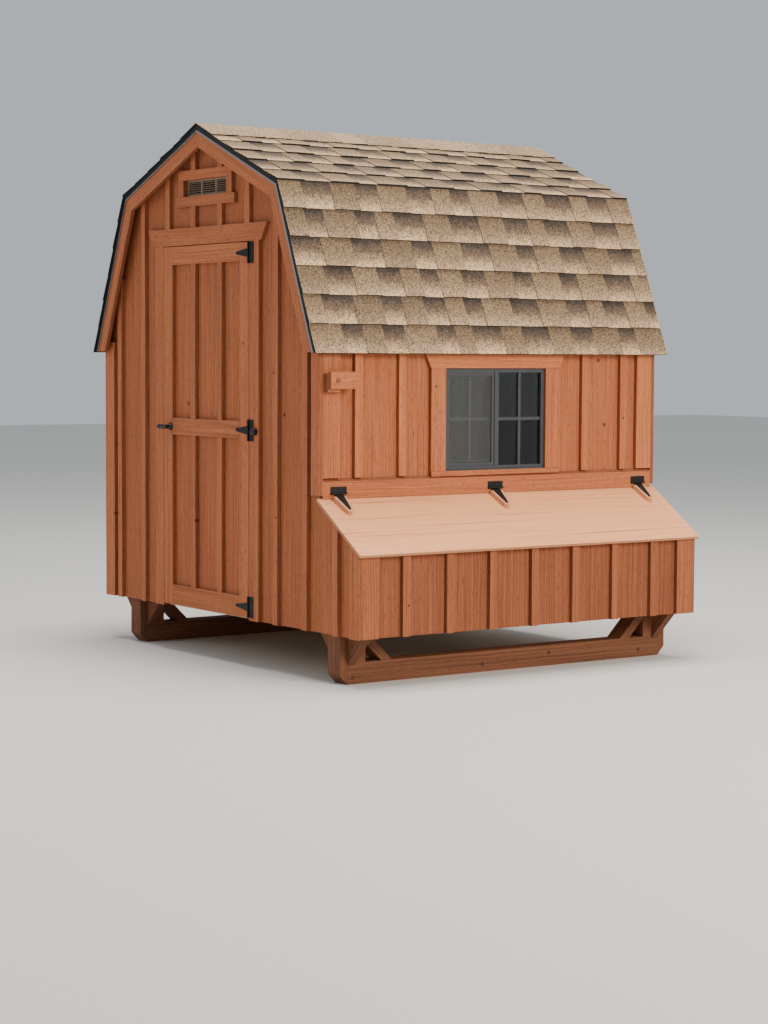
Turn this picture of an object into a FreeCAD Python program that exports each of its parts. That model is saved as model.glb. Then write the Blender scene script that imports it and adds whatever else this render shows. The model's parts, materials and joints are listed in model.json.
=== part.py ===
import FreeCAD, Part
import os
import re
import Sketcher

# Gambrel-roofed chicken coop on two skids.  Millimetres, +Z up.
# The origin is on the ground, in the middle of the coop's overall box.  The door gable faces -Y and
# the nest box, with its hinged lid, is on the +X wall.

doc = FreeCAD.newDocument("chicken_coop")
Vector = FreeCAD.Vector

# ------------------------------------------------------------------ driving dimensions
SIZES = [
    # overall
    ("body_width", 1830),           # over the side trims, along X
    ("body_length", 1830),          # over the gable trims, along Y
    ("floor_clearance", 204),       # ground to the underside of siding and joists
    ("eave_height", 1357),          # ground to the lower edge of the shingles
    ("knee_height", 2077),          # where the two roof slopes meet
    ("ridge_height", 2355),
    ("eave_overhang", 40),          # shingle edge beyond the side trims
    ("knee_inset", 251),            # knee inside the side trims
    ("gable_overhang", 44),         # roof beyond the gable trims
    # lumber and sheets
    ("trim_thickness", 19),
    ("siding_thickness", 16),
    ("stud_width", 38),
    ("stud_depth", 64),
    ("joist_depth", 89),
    ("deck_thickness", 16),
    ("roof_deck_thickness", 12),
    ("shingle_thickness", 7),
    ("cap_thickness", 4),
    ("cap_width", 150),             # ridge cap, down each slope
    ("eave_deck_lift", 10),         # decking edge above the shingles' edge
    ("plate_height", 1400),         # top of the long walls' plates
    ("fit_gap", 1),                 # clearance where a cut piece meets its neighbour
    # trims
    ("batten_width", 38),
    ("gable_batten_pitch", 226),
    ("gable_batten_start", 138),    # from the left trims to the first batten's centre
    ("side_batten_pitch", 224),
    ("window_batten_reach", 500),   # from the window's middle to the nearest batten
    ("corner_board_width", 86),
    ("narrow_corner_width", 63),
    ("rake_width", 74),
    ("rake_thickness", 19),
    ("rake_lift", 2),               # rake feet above the shingles' edge
    ("rake_packer_width", 38),      # strips that hold the rake boards off the battens
    ("drip_height", 20),
    ("drip_thickness", 2),
    ("drip_setback", 6),            # drip edges behind the shingles' ends
    ("drip_hem_height", 7),         # folded lip along the drip edges' feet
    ("drip_hem_reach", 4),
    # skids
    ("skid_size", 89),
    ("skid_right_offset", 71.5),    # skid centre beyond the right trims' line
    ("skid_left_inset", 239.5),     # skid centre inside the left trims' line
    ("skid_end_inset", 27),
    ("end_board_thickness", 38),
    ("end_board_bevel", 40),
    ("gusset_reach", 120),
    ("gusset_drop", 125),
    ("gusset_thickness", 38),
    ("strut_thickness", 38),
    ("strut_foot", 224),            # end of the skid to the strut's far foot
    # door
    ("door_width", 727),
    ("door_bottom", 215),
    ("door_top", 1829),
    ("door_gap", 3),
    ("door_offset", 6),             # door centre right of the gable's centre
    ("stile_width", 76),
    ("top_rail_height", 81),
    ("mid_rail_bottom", 986),
    ("mid_rail_height", 76),
    ("bottom_rail_height", 90),
    ("casing_width", 76),
    ("head_trim_height", 77),
    ("head_trim_overhang", 14),
    ("head_trim_flare", 50),
    ("door_stop_width", 16),
    ("ball_radius", 17),
    ("ball_offset", 58),            # ball stop's centre from the door's edge
    # gable vent
    ("vent_width", 366),
    ("vent_height", 72),
    ("vent_bottom", 2046),
    ("vent_trim_width", 44),
    ("vent_sill_overhang", 22),
    ("louvre_rim", 8),
    ("louvre_depth", 12),
    ("louvre_thickness", 1.5),
    # nest box
    ("nest_reach", 283),            # nest front trims beyond the side trims
    ("nest_end_batten", 116),       # middle of the nest ends' battens beyond the side trims
    ("nest_slope_top", 766),        # lid's top face where it meets the siding
    ("lid_slope", 33.8),
    ("lid_thickness", 13),
    ("lid_front_overhang", 24),
    ("lid_end_overhang", 6),
    ("lid_rest_gap", 0.5),
    ("nest_divider_count", 5),
    ("nest_divider_thickness", 12),
    ("nest_lip_height", 89),
    ("divider_drop", 5),            # dividers' tops below the lid
    ("rail_height", 71),
    ("rail_bottom", 757),
    # window
    ("window_width", 546),
    ("window_height", 437),
    ("window_bottom", 857),
    ("window_offset", 6),           # window centre behind the wall's middle
    ("window_casing_width", 78),
    ("window_head_height", 62),
    ("window_head_flare", 30),
    ("sill_height", 22),
    ("sill_reach", 3),              # leaves room for the raised lid
    ("window_frame_width", 18),
    ("window_frame_depth", 60),
    ("window_proud", 7),            # window frame's face beyond the siding
    ("mullion_width", 22),
    ("screen_bar_width", 14),
    ("sash_bar_width", 24),
    ("sash_depth", 14),
    ("sash_play", 0.5),
    ("muntin_width", 14),
    ("glass_thickness", 3),
    # hinges
    ("knuckle_radius", 4.5),
    ("pin_radius", 2.5),
    ("pin_clearance", 0.05),
    ("leaf_thickness", 2.5),
    ("door_plate_height", 92),
    ("door_plate_width", 38),
    ("door_strap_length", 105),
    ("door_strap_root", 40),
    ("lid_plate_length", 80),
    ("lid_plate_height", 28),
    ("lid_strap_length", 104),
    ("lid_strap_root", 42),
    ("strap_tip_width", 12),
    ("pad_thickness", 19),
    ("pad_margin", 11),
    ("pad_start", 13),              # from the pin's foot, clear of the rail
    ("lid_hinge_inset", 96),
    ("hen_plate_height", 70),
    ("hen_strap_length", 90),
    ("hen_hinge_inset", 60),
    ("hinge_play", 0.5),            # end play beside a knuckle
    ("top_hinge_height", 1783),
    ("mid_hinge_height", 1024),
    ("low_hinge_height", 262),
    # handle
    ("handle_height", 1022),
    ("handle_inset", 60),           # spindle from the door's free edge
    ("handle_reach", 42),
    ("handle_bar_length", 84),
    ("handle_bar_radius", 11),
    ("spindle_radius", 6),
    ("rose_radius", 18),
    ("rose_thickness", 5),
    ("collar_radius", 12),
    ("collar_depth", 15),
    ("latch_bar_length", 88),       # from the spindle to its tip
    ("latch_bar_width", 22),
    ("latch_bar_thickness", 4),
    ("latch_mortise_depth", 10),
    # lid button
    ("button_height", 70),
    ("button_length", 144),
    ("button_thickness", 19),
    ("button_chamfer", 18),
    ("button_centre", 1245),
    ("button_setback", 26),         # from the front trims to the button's end
    ("block_thickness", 28),
    ("block_width", 60),
    ("block_drop", 13),             # block's lower edge below the button's
    ("bolt_radius", 5),
    ("bolt_head_radius", 10),
    ("bolt_head_thickness", 4),
    # hen door in the hidden long wall
    ("hen_door_width", 305),
    ("hen_door_height", 500),
    ("hen_door_sill", 12),          # above the floor deck
    ("hen_door_offset", -250),      # centre along Y from the wall's middle
    ("hen_top_gap", 4),             # the inner top edge rises a little as the door drops
    ("hen_rail_width", 51),
    ("cleat_thickness", 12),
    ("cleat_height", 24),
    ("hen_button_length", 100),
    ("hen_button_height", 30),
    ("hen_button_thickness", 15),
    # perches
    ("roost_height", 560),          # above the floor deck
    ("roost_inset", 270),           # from the left trims to the first roost
    ("roost_spacing", 220),
    ("roost_size", 38),
    ("cleat_bearing", 10),          # least width of stud behind a roost cleat's end
]

sizes = doc.addObject("Spreadsheet::Sheet", "sizes")
for row, (alias, number) in enumerate(SIZES, start=1):
    sizes.set("A%d" % row, alias.replace("_", " "))
    sizes.set("B%d" % row, str(number))
    sizes.setAlias("B%d" % row, alias)
doc.recompute()

# ------------------------------------------------------------------ places worked out from them
# A second sheet holds only formulas, written with the bare names of the driving sheet.
PLACES = [
    ("left", "-(body_width + nest_reach + lid_front_overhang + eave_overhang) / 2 + eave_overhang"),
    ("right", "left + body_width"),
    ("middle", "left + body_width / 2"),
    ("half", "body_width / 2"),
    ("handle_tip", "handle_reach + handle_bar_radius"),
    ("front", "-(body_length + handle_tip + gable_overhang) / 2 + handle_tip"),
    ("back", "front + body_length"),
    ("centre", "front + body_length / 2"),
    # depths inward from a trim face
    ("siding_back", "trim_thickness + siding_thickness"),
    ("frame_back", "siding_back + stud_depth"),
    # heights
    ("joist_top", "floor_clearance + joist_depth"),
    ("deck_top", "joist_top + deck_thickness"),
    ("trim_top", "plate_height - 5"),
    # roof: its slopes, and how far the knee moves for each millimetre of depth into the roof
    ("lower_rise", "knee_height - eave_height"),
    ("lower_run", "eave_overhang + knee_inset"),
    ("upper_rise", "ridge_height - knee_height"),
    ("upper_run", "half - knee_inset"),
    ("lower_angle", "atan(lower_rise / lower_run)"),
    ("upper_angle", "atan(upper_rise / upper_run)"),
    ("knee_in", "(cos(upper_angle) - cos(lower_angle)) / sin(lower_angle - upper_angle)"),
    ("knee_down", "(sin(lower_angle) - sin(upper_angle)) / sin(lower_angle - upper_angle)"),
    ("deck_depth", "shingle_thickness + roof_deck_thickness"),
    ("roof_front", "front - gable_overhang"),
    ("roof_back", "back + gable_overhang"),
    # nest box and lid
    ("nest_front", "right + nest_reach"),
    ("lid_edge", "nest_front + lid_front_overhang"),
    ("pin_above_lid", "pad_thickness + knuckle_radius"),
    ("lid_pin_x", "right + knuckle_radius"),
    ("lid_pin_z", "nest_slope_top - (knuckle_radius + trim_thickness) * tan(lid_slope)"
                  " + pin_above_lid / cos(lid_slope)"),
    ("lid_back", "lid_pin_x - pin_above_lid * sin(lid_slope)"),
    ("lid_length", "(lid_edge - lid_back) / cos(lid_slope)"),
    ("nest_opening_top", "rail_bottom - 20"),
    ("rail_bevel", "trim_thickness * tan(lid_slope)"),
    ("rail_clear_top", "rail_bottom + rail_height + rail_bevel"),
    # door
    ("door_middle", "middle + door_offset"),
    ("door_left", "door_middle - door_width / 2"),
    ("door_right", "door_middle + door_width / 2"),
    ("door_pin_x", "door_right + door_gap / 2"),
    ("door_pin_y", "front - knuckle_radius"),
    ("handle_x", "door_left + handle_inset"),
    ("mid_rail_top", "mid_rail_bottom + mid_rail_height"),
    # how far up its swing the latch bar's tip enters the stud
    ("latch_sweep", "sqrt(latch_bar_length ^ 2 + (latch_bar_width / 2) ^ 2 - (handle_inset + door_gap) ^ 2)"),
    # window
    ("window_middle", "centre + window_offset"),
    ("window_near", "window_middle - window_width / 2"),
    ("window_far", "window_middle + window_width / 2"),
    ("window_top", "window_bottom + window_height"),
    ("window_face", "right - trim_thickness + window_proud"),
    # hen door in the left wall
    ("hen_middle", "centre + hen_door_offset"),
    ("hen_near", "hen_middle - hen_door_width / 2"),
    ("hen_far", "hen_middle + hen_door_width / 2"),
    ("hen_bottom", "deck_top + hen_door_sill"),
    ("hen_top", "hen_bottom + hen_door_height"),
    ("hen_pin_x", "left - knuckle_radius"),
    ("hen_pin_z", "hen_bottom - door_gap / 2"),
    # skids
    ("skid_right_x", "right + skid_right_offset"),
    ("skid_left_x", "left + skid_left_inset"),
    ("skid_near", "front + skid_end_inset + end_board_thickness"),
    ("skid_far", "back - skid_end_inset - end_board_thickness"),
]

SHEET_OF = {alias: "sizes" for alias, number in SIZES}
SHEET_OF.update({alias: "places" for alias, formula in PLACES})


def link(text):
    """Turn the bare names in a formula into references to the sheet that holds each."""
    return re.sub(r"[a-z_]+", lambda word: (
        SHEET_OF[word.group()] + "." + word.group() if word.group() in SHEET_OF else word.group()
    ), str(text))


places = doc.addObject("Spreadsheet::Sheet", "places")
for row, (alias, formula) in enumerate(PLACES, start=1):
    places.set("A%d" % row, alias.replace("_", " "))
    places.set("B%d" % row, "=" + link(formula).replace("places.", ""))
    places.setAlias("B%d" % row, alias)
doc.recompute()


def value(text):
    """A formula's number, for the few choices that a loop has to make."""
    return float(places.evalExpression(link(text)))


# ------------------------------------------------------------------ building blocks
PLANE_ROTATION = {
    "XZ": FreeCAD.Rotation(Vector(1, 0, 0), 90),
    "YZ": FreeCAD.Rotation(Vector(1, 1, 1), 120),
    "XY": FreeCAD.Rotation(),
}
PLANE_NORMAL = {"XZ": Vector(0, 1, 0), "YZ": Vector(1, 0, 0), "XY": Vector(0, 0, 1)}
NORMAL_AXIS = {"XZ": "y", "YZ": "x", "XY": "z"}
AXIS_ROTATION = {
    "x": FreeCAD.Rotation(Vector(0, 1, 0), 90),
    "y": FreeCAD.Rotation(Vector(1, 0, 0), -90),
    "z": FreeCAD.Rotation(),
}
nodes = []


def bind(item, prop, text):
    item.setExpression(prop, link(text))


def box(name, xs, ys, zs):
    """A board between two planes along each axis."""
    item = doc.addObject("Part::Box", name)
    for prop, axis, (low, high) in (("Length", "x", xs), ("Width", "y", ys), ("Height", "z", zs)):
        bind(item, prop, "(%s) - (%s)" % (high, low))
        bind(item, "Placement.Base." + axis, low)
    return item


def rod(name, axis, centre, low, high, radius):
    """A cylinder along an axis.  centre gives the other two coordinates, in X, Y, Z order."""
    item = doc.addObject("Part::Cylinder", name)
    item.Placement.Rotation = AXIS_ROTATION[axis]
    bind(item, "Radius", radius)
    bind(item, "Height", "(%s) - (%s)" % (high, low))
    bind(item, "Placement.Base." + axis, low)
    for other, place in zip([a for a in "xyz" if a != axis], centre):
        bind(item, "Placement.Base." + other, place)
    return item


def outline(name, plane, corners, low):
    """A closed sketch whose every corner is held by two driven dimensions."""
    sketch = doc.addObject("Sketcher::SketchObject", name + "_outline")
    sketch.Placement.Rotation = PLANE_ROTATION[plane]
    bind(sketch, "Placement.Base." + NORMAL_AXIS[plane], low)
    points = [Vector(value(across), value(up), 0) for across, up in corners]
    count = len(points)
    sketch.addGeometry([Part.LineSegment(points[i], points[(i + 1) % count]) for i in range(count)])
    held = [Sketcher.Constraint("Coincident", i, 2, (i + 1) % count, 1) for i in range(count)]
    for i, point in enumerate(points):
        held.append(Sketcher.Constraint("DistanceX", -1, 1, i, 1, point.x))
        held.append(Sketcher.Constraint("DistanceY", -1, 1, i, 1, point.y))
    sketch.addConstraint(held)
    for i, (across, up) in enumerate(corners):
        bind(sketch, "Constraints[%d]" % (count + 2 * i), across)
        bind(sketch, "Constraints[%d]" % (count + 2 * i + 1), up)
    return sketch


def prism(name, plane, corners, low, high):
    """A flat outline, carried from one plane to another."""
    item = doc.addObject("Part::Extrusion", name)
    item.Base = outline(name, plane, corners, low)
    item.DirMode = "Custom"
    item.Dir = PLANE_NORMAL[plane]
    item.Solid = True
    bind(item, "LengthFwd", "(%s) - (%s)" % (high, low))
    return item


def cut(name, base, *tools):
    item = doc.addObject("Part::Cut", name)
    item.Base = base
    item.Tool = tools[0] if len(tools) == 1 else fuse(name + "_tools", *tools)
    return item


def fuse(name, *pieces):
    item = doc.addObject("Part::MultiFuse", name)
    item.Shapes = list(pieces)
    item.Refine = True
    return item


def group(name, pieces):
    """Separate pieces that share one node."""
    item = doc.addObject("Part::Compound", name)
    item.Links = list(pieces)
    return item


def node(item, label=None):
    item.Label = label or item.Name
    nodes.append(item)
    return item


# ------------------------------------------------------------------ roof lines
# depth is measured square to a slope, inward from the shingles' face.
SIDES = {"left": "-1", "right": "1"}


def eave(side, depth, lift="0"):
    """A roof corner at the eave, cut level at a height above the shingles' edge."""
    across = "half + eave_overhang - (%s) / sin(lower_angle) - (%s) / tan(lower_angle)" % (depth, lift)
    return "middle + %s * (%s)" % (SIDES[side], across), "eave_height + (%s)" % lift


def knee(side, depth):
    across = "half - knee_inset - (%s) * knee_in" % depth
    return "middle + %s * (%s)" % (SIDES[side], across), "knee_height - (%s) * knee_down" % depth


def ridge(depth):
    return "middle", "ridge_height - (%s) / cos(upper_angle)" % depth


def lower_band(side, top, bottom, lift="0"):
    return [eave(side, top, lift), eave(side, bottom, lift), knee(side, bottom), knee(side, top)]


def upper_band(side, top, bottom):
    return [knee(side, top), knee(side, bottom), ridge(bottom), ridge(top)]


def roof_height(across, depth):
    """Height of the roof at a depth, over a place at a distance from the middle."""
    if value(across) > value("half - knee_inset - (%s) * knee_in" % depth):
        return ("eave_height + (half + eave_overhang - (%s) / sin(lower_angle) - (%s)) * tan(lower_angle)"
                % (depth, across))
    return "ridge_height - (%s) / cos(upper_angle) - (%s) * tan(upper_angle)" % (depth, across)


def gable_outline(inset, depth, bottom):
    """The gable wall's shape below the roof, inset from the side trims."""
    edge = "half - (%s)" % inset
    right_edge = "middle + " + edge
    left_edge = "middle - (%s)" % edge
    top = roof_height(edge, depth)
    return [(left_edge, bottom), (right_edge, bottom), (right_edge, top), knee("right", depth),
            ridge(depth), knee("left", depth), (left_edge, top)]


# ------------------------------------------------------------------ skids
SKIDS = {"right": "skid_right_x", "left": "skid_left_x"}
ENDS = {"near": ("skid_near", "1"), "far": ("skid_far", "-1")}


def between(start, direction, low, high):
    """Two planes at distances from a start, in rising order whichever way the direction points."""
    planes = ["%s + %s * (%s)" % (start, direction, low), "%s + %s * (%s)" % (start, direction, high)]
    return tuple(planes if direction == "1" else reversed(planes))


def skid_span(side):
    return SKIDS[side] + " - skid_size / 2", SKIDS[side] + " + skid_size / 2"


def end_board(side, end):
    start, way = ENDS[end]
    outer = "%s - %s * end_board_thickness" % (start, way)
    corners = [(outer, "end_board_bevel"), (start, "0"), (start, "floor_clearance"),
               (outer, "floor_clearance")]
    return prism("end_board_%s_%s" % (side, end), "YZ", corners, *skid_span(side))


def skid_post(side, end):
    return box("post_%s_%s" % (side, end), skid_span(side), between(*ENDS[end], "0", "skid_size"),
               ("skid_size", "floor_clearance"))


def gusset(side, end, way):
    face = "%s + %s * skid_size / 2" % (SKIDS[side], way)
    corners = [(face, "floor_clearance"), ("%s + %s * gusset_reach" % (face, way), "floor_clearance"),
               (face, "floor_clearance - gusset_drop")]
    name = "gusset_%s_%s_%s" % (side, end, "outer" if way == "1" else "inner")
    return prism(name, "XZ", corners, *between(*ENDS[end], "0", "gusset_thickness"))


def strut(side, end):
    """A 45 degree strut from the skid's top to the floor, its head cut against the post."""
    start, way = ENDS[end]
    foot = "%s + %s * (strut_foot)" % (start, way)
    heel = "%s + %s * (strut_foot - strut_thickness * sqrt(2))" % (start, way)
    post = "%s + %s * skid_size" % (start, way)
    head = "%s + %s * (strut_foot - floor_clearance + skid_size)" % (start, way)
    shoulder = "skid_size + strut_foot - strut_thickness * sqrt(2) - skid_size"
    corners = [(heel, "skid_size"), (foot, "skid_size"), (head, "floor_clearance"),
               (post, "floor_clearance"), (post, shoulder)]
    return prism("strut_%s_%s" % (side, end), "YZ", corners, *skid_span(side))


ALL_ENDS = [(side, end) for side in SKIDS for end in ENDS]
node(group("skids", [box("skid_" + side, skid_span(side), ("skid_near", "skid_far"), ("0", "skid_size"))
                     for side in SKIDS]))
node(group("skid_ends", [end_board(*where) for where in ALL_ENDS]
           + [skid_post(*where) for where in ALL_ENDS]))
node(group("skid_braces", [gusset(*where, way) for where in ALL_ENDS for way in ("1", "-1")]
           + [strut(*where) for where in ALL_ENDS]))

# ------------------------------------------------------------------ floor
FRAME_X = ("left + siding_back", "right - siding_back")
FRAME_Y = ("front + siding_back", "back - siding_back")
NEST_BACK_EDGE = "nest_front - siding_back"
JOIST_COUNT = 6


def floor_joist(index):
    near = "%s + %d * (body_length - 2 * siding_back - stud_width) / %d" % (
        FRAME_Y[0], index, JOIST_COUNT - 1)
    return box("joist_%d" % index, (FRAME_X[0] + " + stud_width", NEST_BACK_EDGE + " - stud_width"),
               (near, near + " + stud_width"), ("floor_clearance", "joist_top"))


joists = [floor_joist(index) for index in range(JOIST_COUNT)]
joists.append(box("rim_left", (FRAME_X[0], FRAME_X[0] + " + stud_width"), FRAME_Y,
                  ("floor_clearance", "joist_top")))
joists.append(box("rim_nest", (NEST_BACK_EDGE + " - stud_width", NEST_BACK_EDGE), FRAME_Y,
                  ("floor_clearance", "joist_top")))
node(group("floor_joists", joists))
node(group("floor_deck", [
    box("coop_floor", FRAME_X, FRAME_Y, ("joist_top", "deck_top")),
    box("nest_floor", (FRAME_X[1], NEST_BACK_EDGE), FRAME_Y, ("joist_top", "deck_top")),
]))

# ------------------------------------------------------------------ wall frames
PLATE = ("plate_height - stud_width", "plate_height")
SOLE = ("deck_top", "deck_top + stud_width")


def wall_stud(name, wall, near, foot="deck_top + stud_width", head="plate_height - stud_width"):
    """A stud of a long wall, on edge, starting at a place along Y."""
    return box(name, wall, (near, near + " + stud_width"), (foot, head))


LEFT_WALL = (FRAME_X[0], "left + frame_back")
RIGHT_WALL = ("right - frame_back", FRAME_X[1])
SIDE_Y = ("front + frame_back", "back - frame_back")
FIRST_STUD = SIDE_Y[0]
LAST_STUD = SIDE_Y[1] + " - stud_width"

# nest wall: a beam over the nests carries the hinge rail and the window
BEAM = ("rail_bottom", "rail_bottom + joist_depth")
NEST_BAY = "(body_length - 2 * siding_back) / (nest_divider_count + 1)"


def divider_middle(index):
    return "%s + %d * %s" % (FRAME_Y[0], index, NEST_BAY)


nest_wall = [
    box("nest_sole", RIGHT_WALL, SIDE_Y, SOLE),
    box("nest_beam", RIGHT_WALL, SIDE_Y, BEAM),
    box("nest_plate", RIGHT_WALL, SIDE_Y, PLATE),
    box("window_header", RIGHT_WALL, ("window_near - door_gap", "window_far + door_gap"),
        ("window_top + door_gap", "window_top + door_gap + stud_width")),
]
for label, near in (("near", FIRST_STUD), ("far", LAST_STUD)):
    nest_wall.append(wall_stud("nest_stud_" + label, RIGHT_WALL, near, head=BEAM[0]))
    nest_wall.append(wall_stud("upper_stud_" + label, RIGHT_WALL, near, foot=BEAM[1]))
for index in (2, 4):
    nest_wall.append(wall_stud("nest_stud_%d" % index, RIGHT_WALL,
                               divider_middle(index) + " - stud_width / 2", head=BEAM[0]))
for label, near in (("near", "window_near - door_gap - stud_width"), ("far", "window_far + door_gap")):
    nest_wall.append(wall_stud("window_stud_" + label, RIGHT_WALL, near, foot=BEAM[1]))
node(group("nest_wall_frame", nest_wall))

# left wall: framed around the hen door
HEN_STUDS = {"near": "hen_near - door_gap - stud_width", "far": "hen_far + door_gap"}
hen_wall = [
    box("hen_sole_near", LEFT_WALL, (SIDE_Y[0], HEN_STUDS["near"]), SOLE),
    box("hen_sole_far", LEFT_WALL, (HEN_STUDS["far"] + " + stud_width", SIDE_Y[1]), SOLE),
    box("hen_plate", LEFT_WALL, SIDE_Y, PLATE),
    box("hen_header", LEFT_WALL, ("hen_near - door_gap", "hen_far + door_gap"),
        ("hen_top + hen_top_gap", "hen_top + hen_top_gap + stud_width")),
    wall_stud("hen_stud_first", LEFT_WALL, FIRST_STUD),
    wall_stud("hen_stud_last", LEFT_WALL, LAST_STUD),
    wall_stud("hen_stud_mid", LEFT_WALL, "(%s + %s) / 2" % (HEN_STUDS["far"], LAST_STUD)),
]
for label, near in HEN_STUDS.items():
    hen_wall.append(wall_stud("hen_stud_" + label, LEFT_WALL, near, foot="deck_top"))
node(group("hen_wall_frame", hen_wall))

# gable walls: studs run up to the end rafters
RAFTER_DEPTH = "deck_depth + stud_depth"
GABLES = {"door": ("front", "1"), "back": ("back", "-1")}


def gable_stud(wall, label, low_x, high_x, outer, foot="deck_top + stud_width"):
    """A stud of a gable wall.  outer is its far edge's distance from the middle."""
    head = PLATE[1] if value(outer) > value("half - frame_back") else roof_height(outer, RAFTER_DEPTH)
    return box("%s_stud_%s" % (wall, label), (low_x, high_x),
               between(*GABLES[wall], "siding_back", "frame_back"), (foot, head))


def corner_studs(wall):
    return [
        gable_stud(wall, "left", FRAME_X[0], FRAME_X[0] + " + stud_width", "half - siding_back"),
        gable_stud(wall, "right", FRAME_X[1] + " - stud_width", FRAME_X[1], "half - siding_back"),
    ]


def sole(wall, label, low_x, high_x):
    return box("%s_sole_%s" % (wall, label), (low_x, high_x),
               between(*GABLES[wall], "siding_back", "frame_back"), SOLE)


DOOR_STUD_LEFT = ("door_left - door_gap - stud_width", "door_left - door_gap")
DOOR_STUD_RIGHT = ("door_right + door_gap", "door_right + door_gap + stud_width")
latch_stud = gable_stud("door", "jamb_left", *DOOR_STUD_LEFT, "middle - (%s)" % DOOR_STUD_LEFT[0],
                        "deck_top")
door_wall = corner_studs("door") + [
    gable_stud("door", "jamb_right", *DOOR_STUD_RIGHT, "%s - middle" % DOOR_STUD_RIGHT[1], "deck_top"),
    sole("door", "left", FRAME_X[0], DOOR_STUD_LEFT[0]),
    sole("door", "right", DOOR_STUD_RIGHT[1], FRAME_X[1]),
    box("door_header", (DOOR_STUD_LEFT[1], DOOR_STUD_RIGHT[0]),
        between("front", "1", "siding_back", "frame_back"),
        ("door_top + door_gap", "door_top + door_gap + joist_depth")),
]
# the latch bar turns into a mortise in the stud beside the door
mortise = box("latch_mortise", (DOOR_STUD_LEFT[0] + " - 1", DOOR_STUD_LEFT[1] + " + 1"),
              ("front + siding_back - 1", "front + siding_back + latch_mortise_depth"),
              ("handle_height - latch_bar_width / 2 - door_gap",
               "handle_height + latch_sweep + door_gap"))
node(group("door_wall_frame", door_wall))
node(cut("latch_stud", latch_stud, mortise))

BACK_STUD_SHARES = (-0.5, 0, 0.5)


def back_stud(share):
    """Left side of a back wall stud, at a share of the way from the middle to the side wall."""
    return "middle + %s * (half - siding_back) - stud_width / 2" % share


back_wall = corner_studs("back") + [sole("back", "whole", *FRAME_X)]
for index, share in enumerate(BACK_STUD_SHARES):
    low_x = back_stud(share)
    back_wall.append(gable_stud("back", "mid_%d" % index, low_x, low_x + " + stud_width",
                                "%s * (half - siding_back) + stud_width / 2" % abs(share)))
node(group("back_wall_frame", back_wall))

# ------------------------------------------------------------------ roof
RAFTER_FRAMES = 4


def rafter_frame(index):
    near = "%s + %d * (body_length - 2 * siding_back - stud_width) / %d" % (
        FRAME_Y[0], index, RAFTER_FRAMES - 1)
    span = (near, near + " + stud_width")
    pieces = []
    for side in SIDES:
        pieces.append(prism("rafter_low_%s_%d" % (side, index), "XZ", lower_band(
            side, "deck_depth", RAFTER_DEPTH, "plate_height - eave_height"), *span))
        pieces.append(prism("rafter_high_%s_%d" % (side, index), "XZ", upper_band(
            side, "deck_depth", RAFTER_DEPTH), *span))
    return pieces


node(group("rafters", sum([rafter_frame(index) for index in range(RAFTER_FRAMES)], [])))

DRIP_SPAN = ("roof_front + drip_setback", "roof_back - drip_setback")
DECK_SPAN = (DRIP_SPAN[0] + " + drip_thickness", DRIP_SPAN[1] + " - drip_thickness")
ROOF_SPAN = ("roof_front", "roof_back")
roof_deck = []
for side in SIDES:
    roof_deck.append(prism("deck_low_" + side, "XZ", lower_band(
        side, "shingle_thickness", "deck_depth", "eave_deck_lift"), *DECK_SPAN))
    roof_deck.append(prism("deck_high_" + side, "XZ", upper_band(
        side, "shingle_thickness", "deck_depth"), *DECK_SPAN))
node(group("roof_decking", roof_deck))

node(group("roof_shingles", [prism("shingles_low_" + side, "XZ", lower_band(
    side, "0", "shingle_thickness"), *ROOF_SPAN) for side in SIDES]
    + [prism("shingles_high_" + side, "XZ", upper_band(
        side, "0", "shingle_thickness"), *ROOF_SPAN) for side in SIDES]))


def cap_corner(side, depth):
    """The ridge cap's edge, at its width down the upper slope."""
    return ("middle + %s * (cap_width * cos(upper_angle) - (%s) * sin(upper_angle))"
            % (SIDES[side], depth),
            "ridge_height - cap_width * sin(upper_angle) - (%s) * cos(upper_angle)" % depth)


node(prism("ridge_cap", "XZ", [
    cap_corner("left", "0"), ridge("0"), cap_corner("right", "0"),
    cap_corner("right", "-cap_thickness"), ridge("-cap_thickness"), cap_corner("left", "-cap_thickness"),
], *ROOF_SPAN))

DRIP_BANDS = {
    "face": ("shingle_thickness", "shingle_thickness + drip_height + drip_hem_height"),
    "hem": ("shingle_thickness + drip_height", "shingle_thickness + drip_height + drip_hem_height"),
}
DRIP_SPANS = {
    ("face", "front"): (DRIP_SPAN[0], DECK_SPAN[0]),
    ("face", "back"): (DECK_SPAN[1], DRIP_SPAN[1]),
    ("hem", "front"): (DRIP_SPAN[0] + " - drip_hem_reach", DRIP_SPAN[0]),
    ("hem", "back"): (DRIP_SPAN[1], DRIP_SPAN[1] + " + drip_hem_reach"),
}
drips = []
for (part, end), span in DRIP_SPANS.items():
    for side in SIDES:
        label = "%s_%s_%s" % (part, end, side)
        drips.append(prism("drip_low_" + label, "XZ", lower_band(side, *DRIP_BANDS[part]), *span))
        drips.append(prism("drip_high_" + label, "XZ", upper_band(side, *DRIP_BANDS[part]), *span))
for side in SIDES:
    drips.append(prism("drip_eave_" + side, "XZ", [
        eave(side, "shingle_thickness", "eave_deck_lift - drip_thickness"),
        eave(side, "deck_depth", "eave_deck_lift - drip_thickness"),
        eave(side, "deck_depth", "eave_deck_lift"),
        eave(side, "shingle_thickness", "eave_deck_lift"),
    ], *DECK_SPAN))
node(group("drip_edges", drips))

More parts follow.
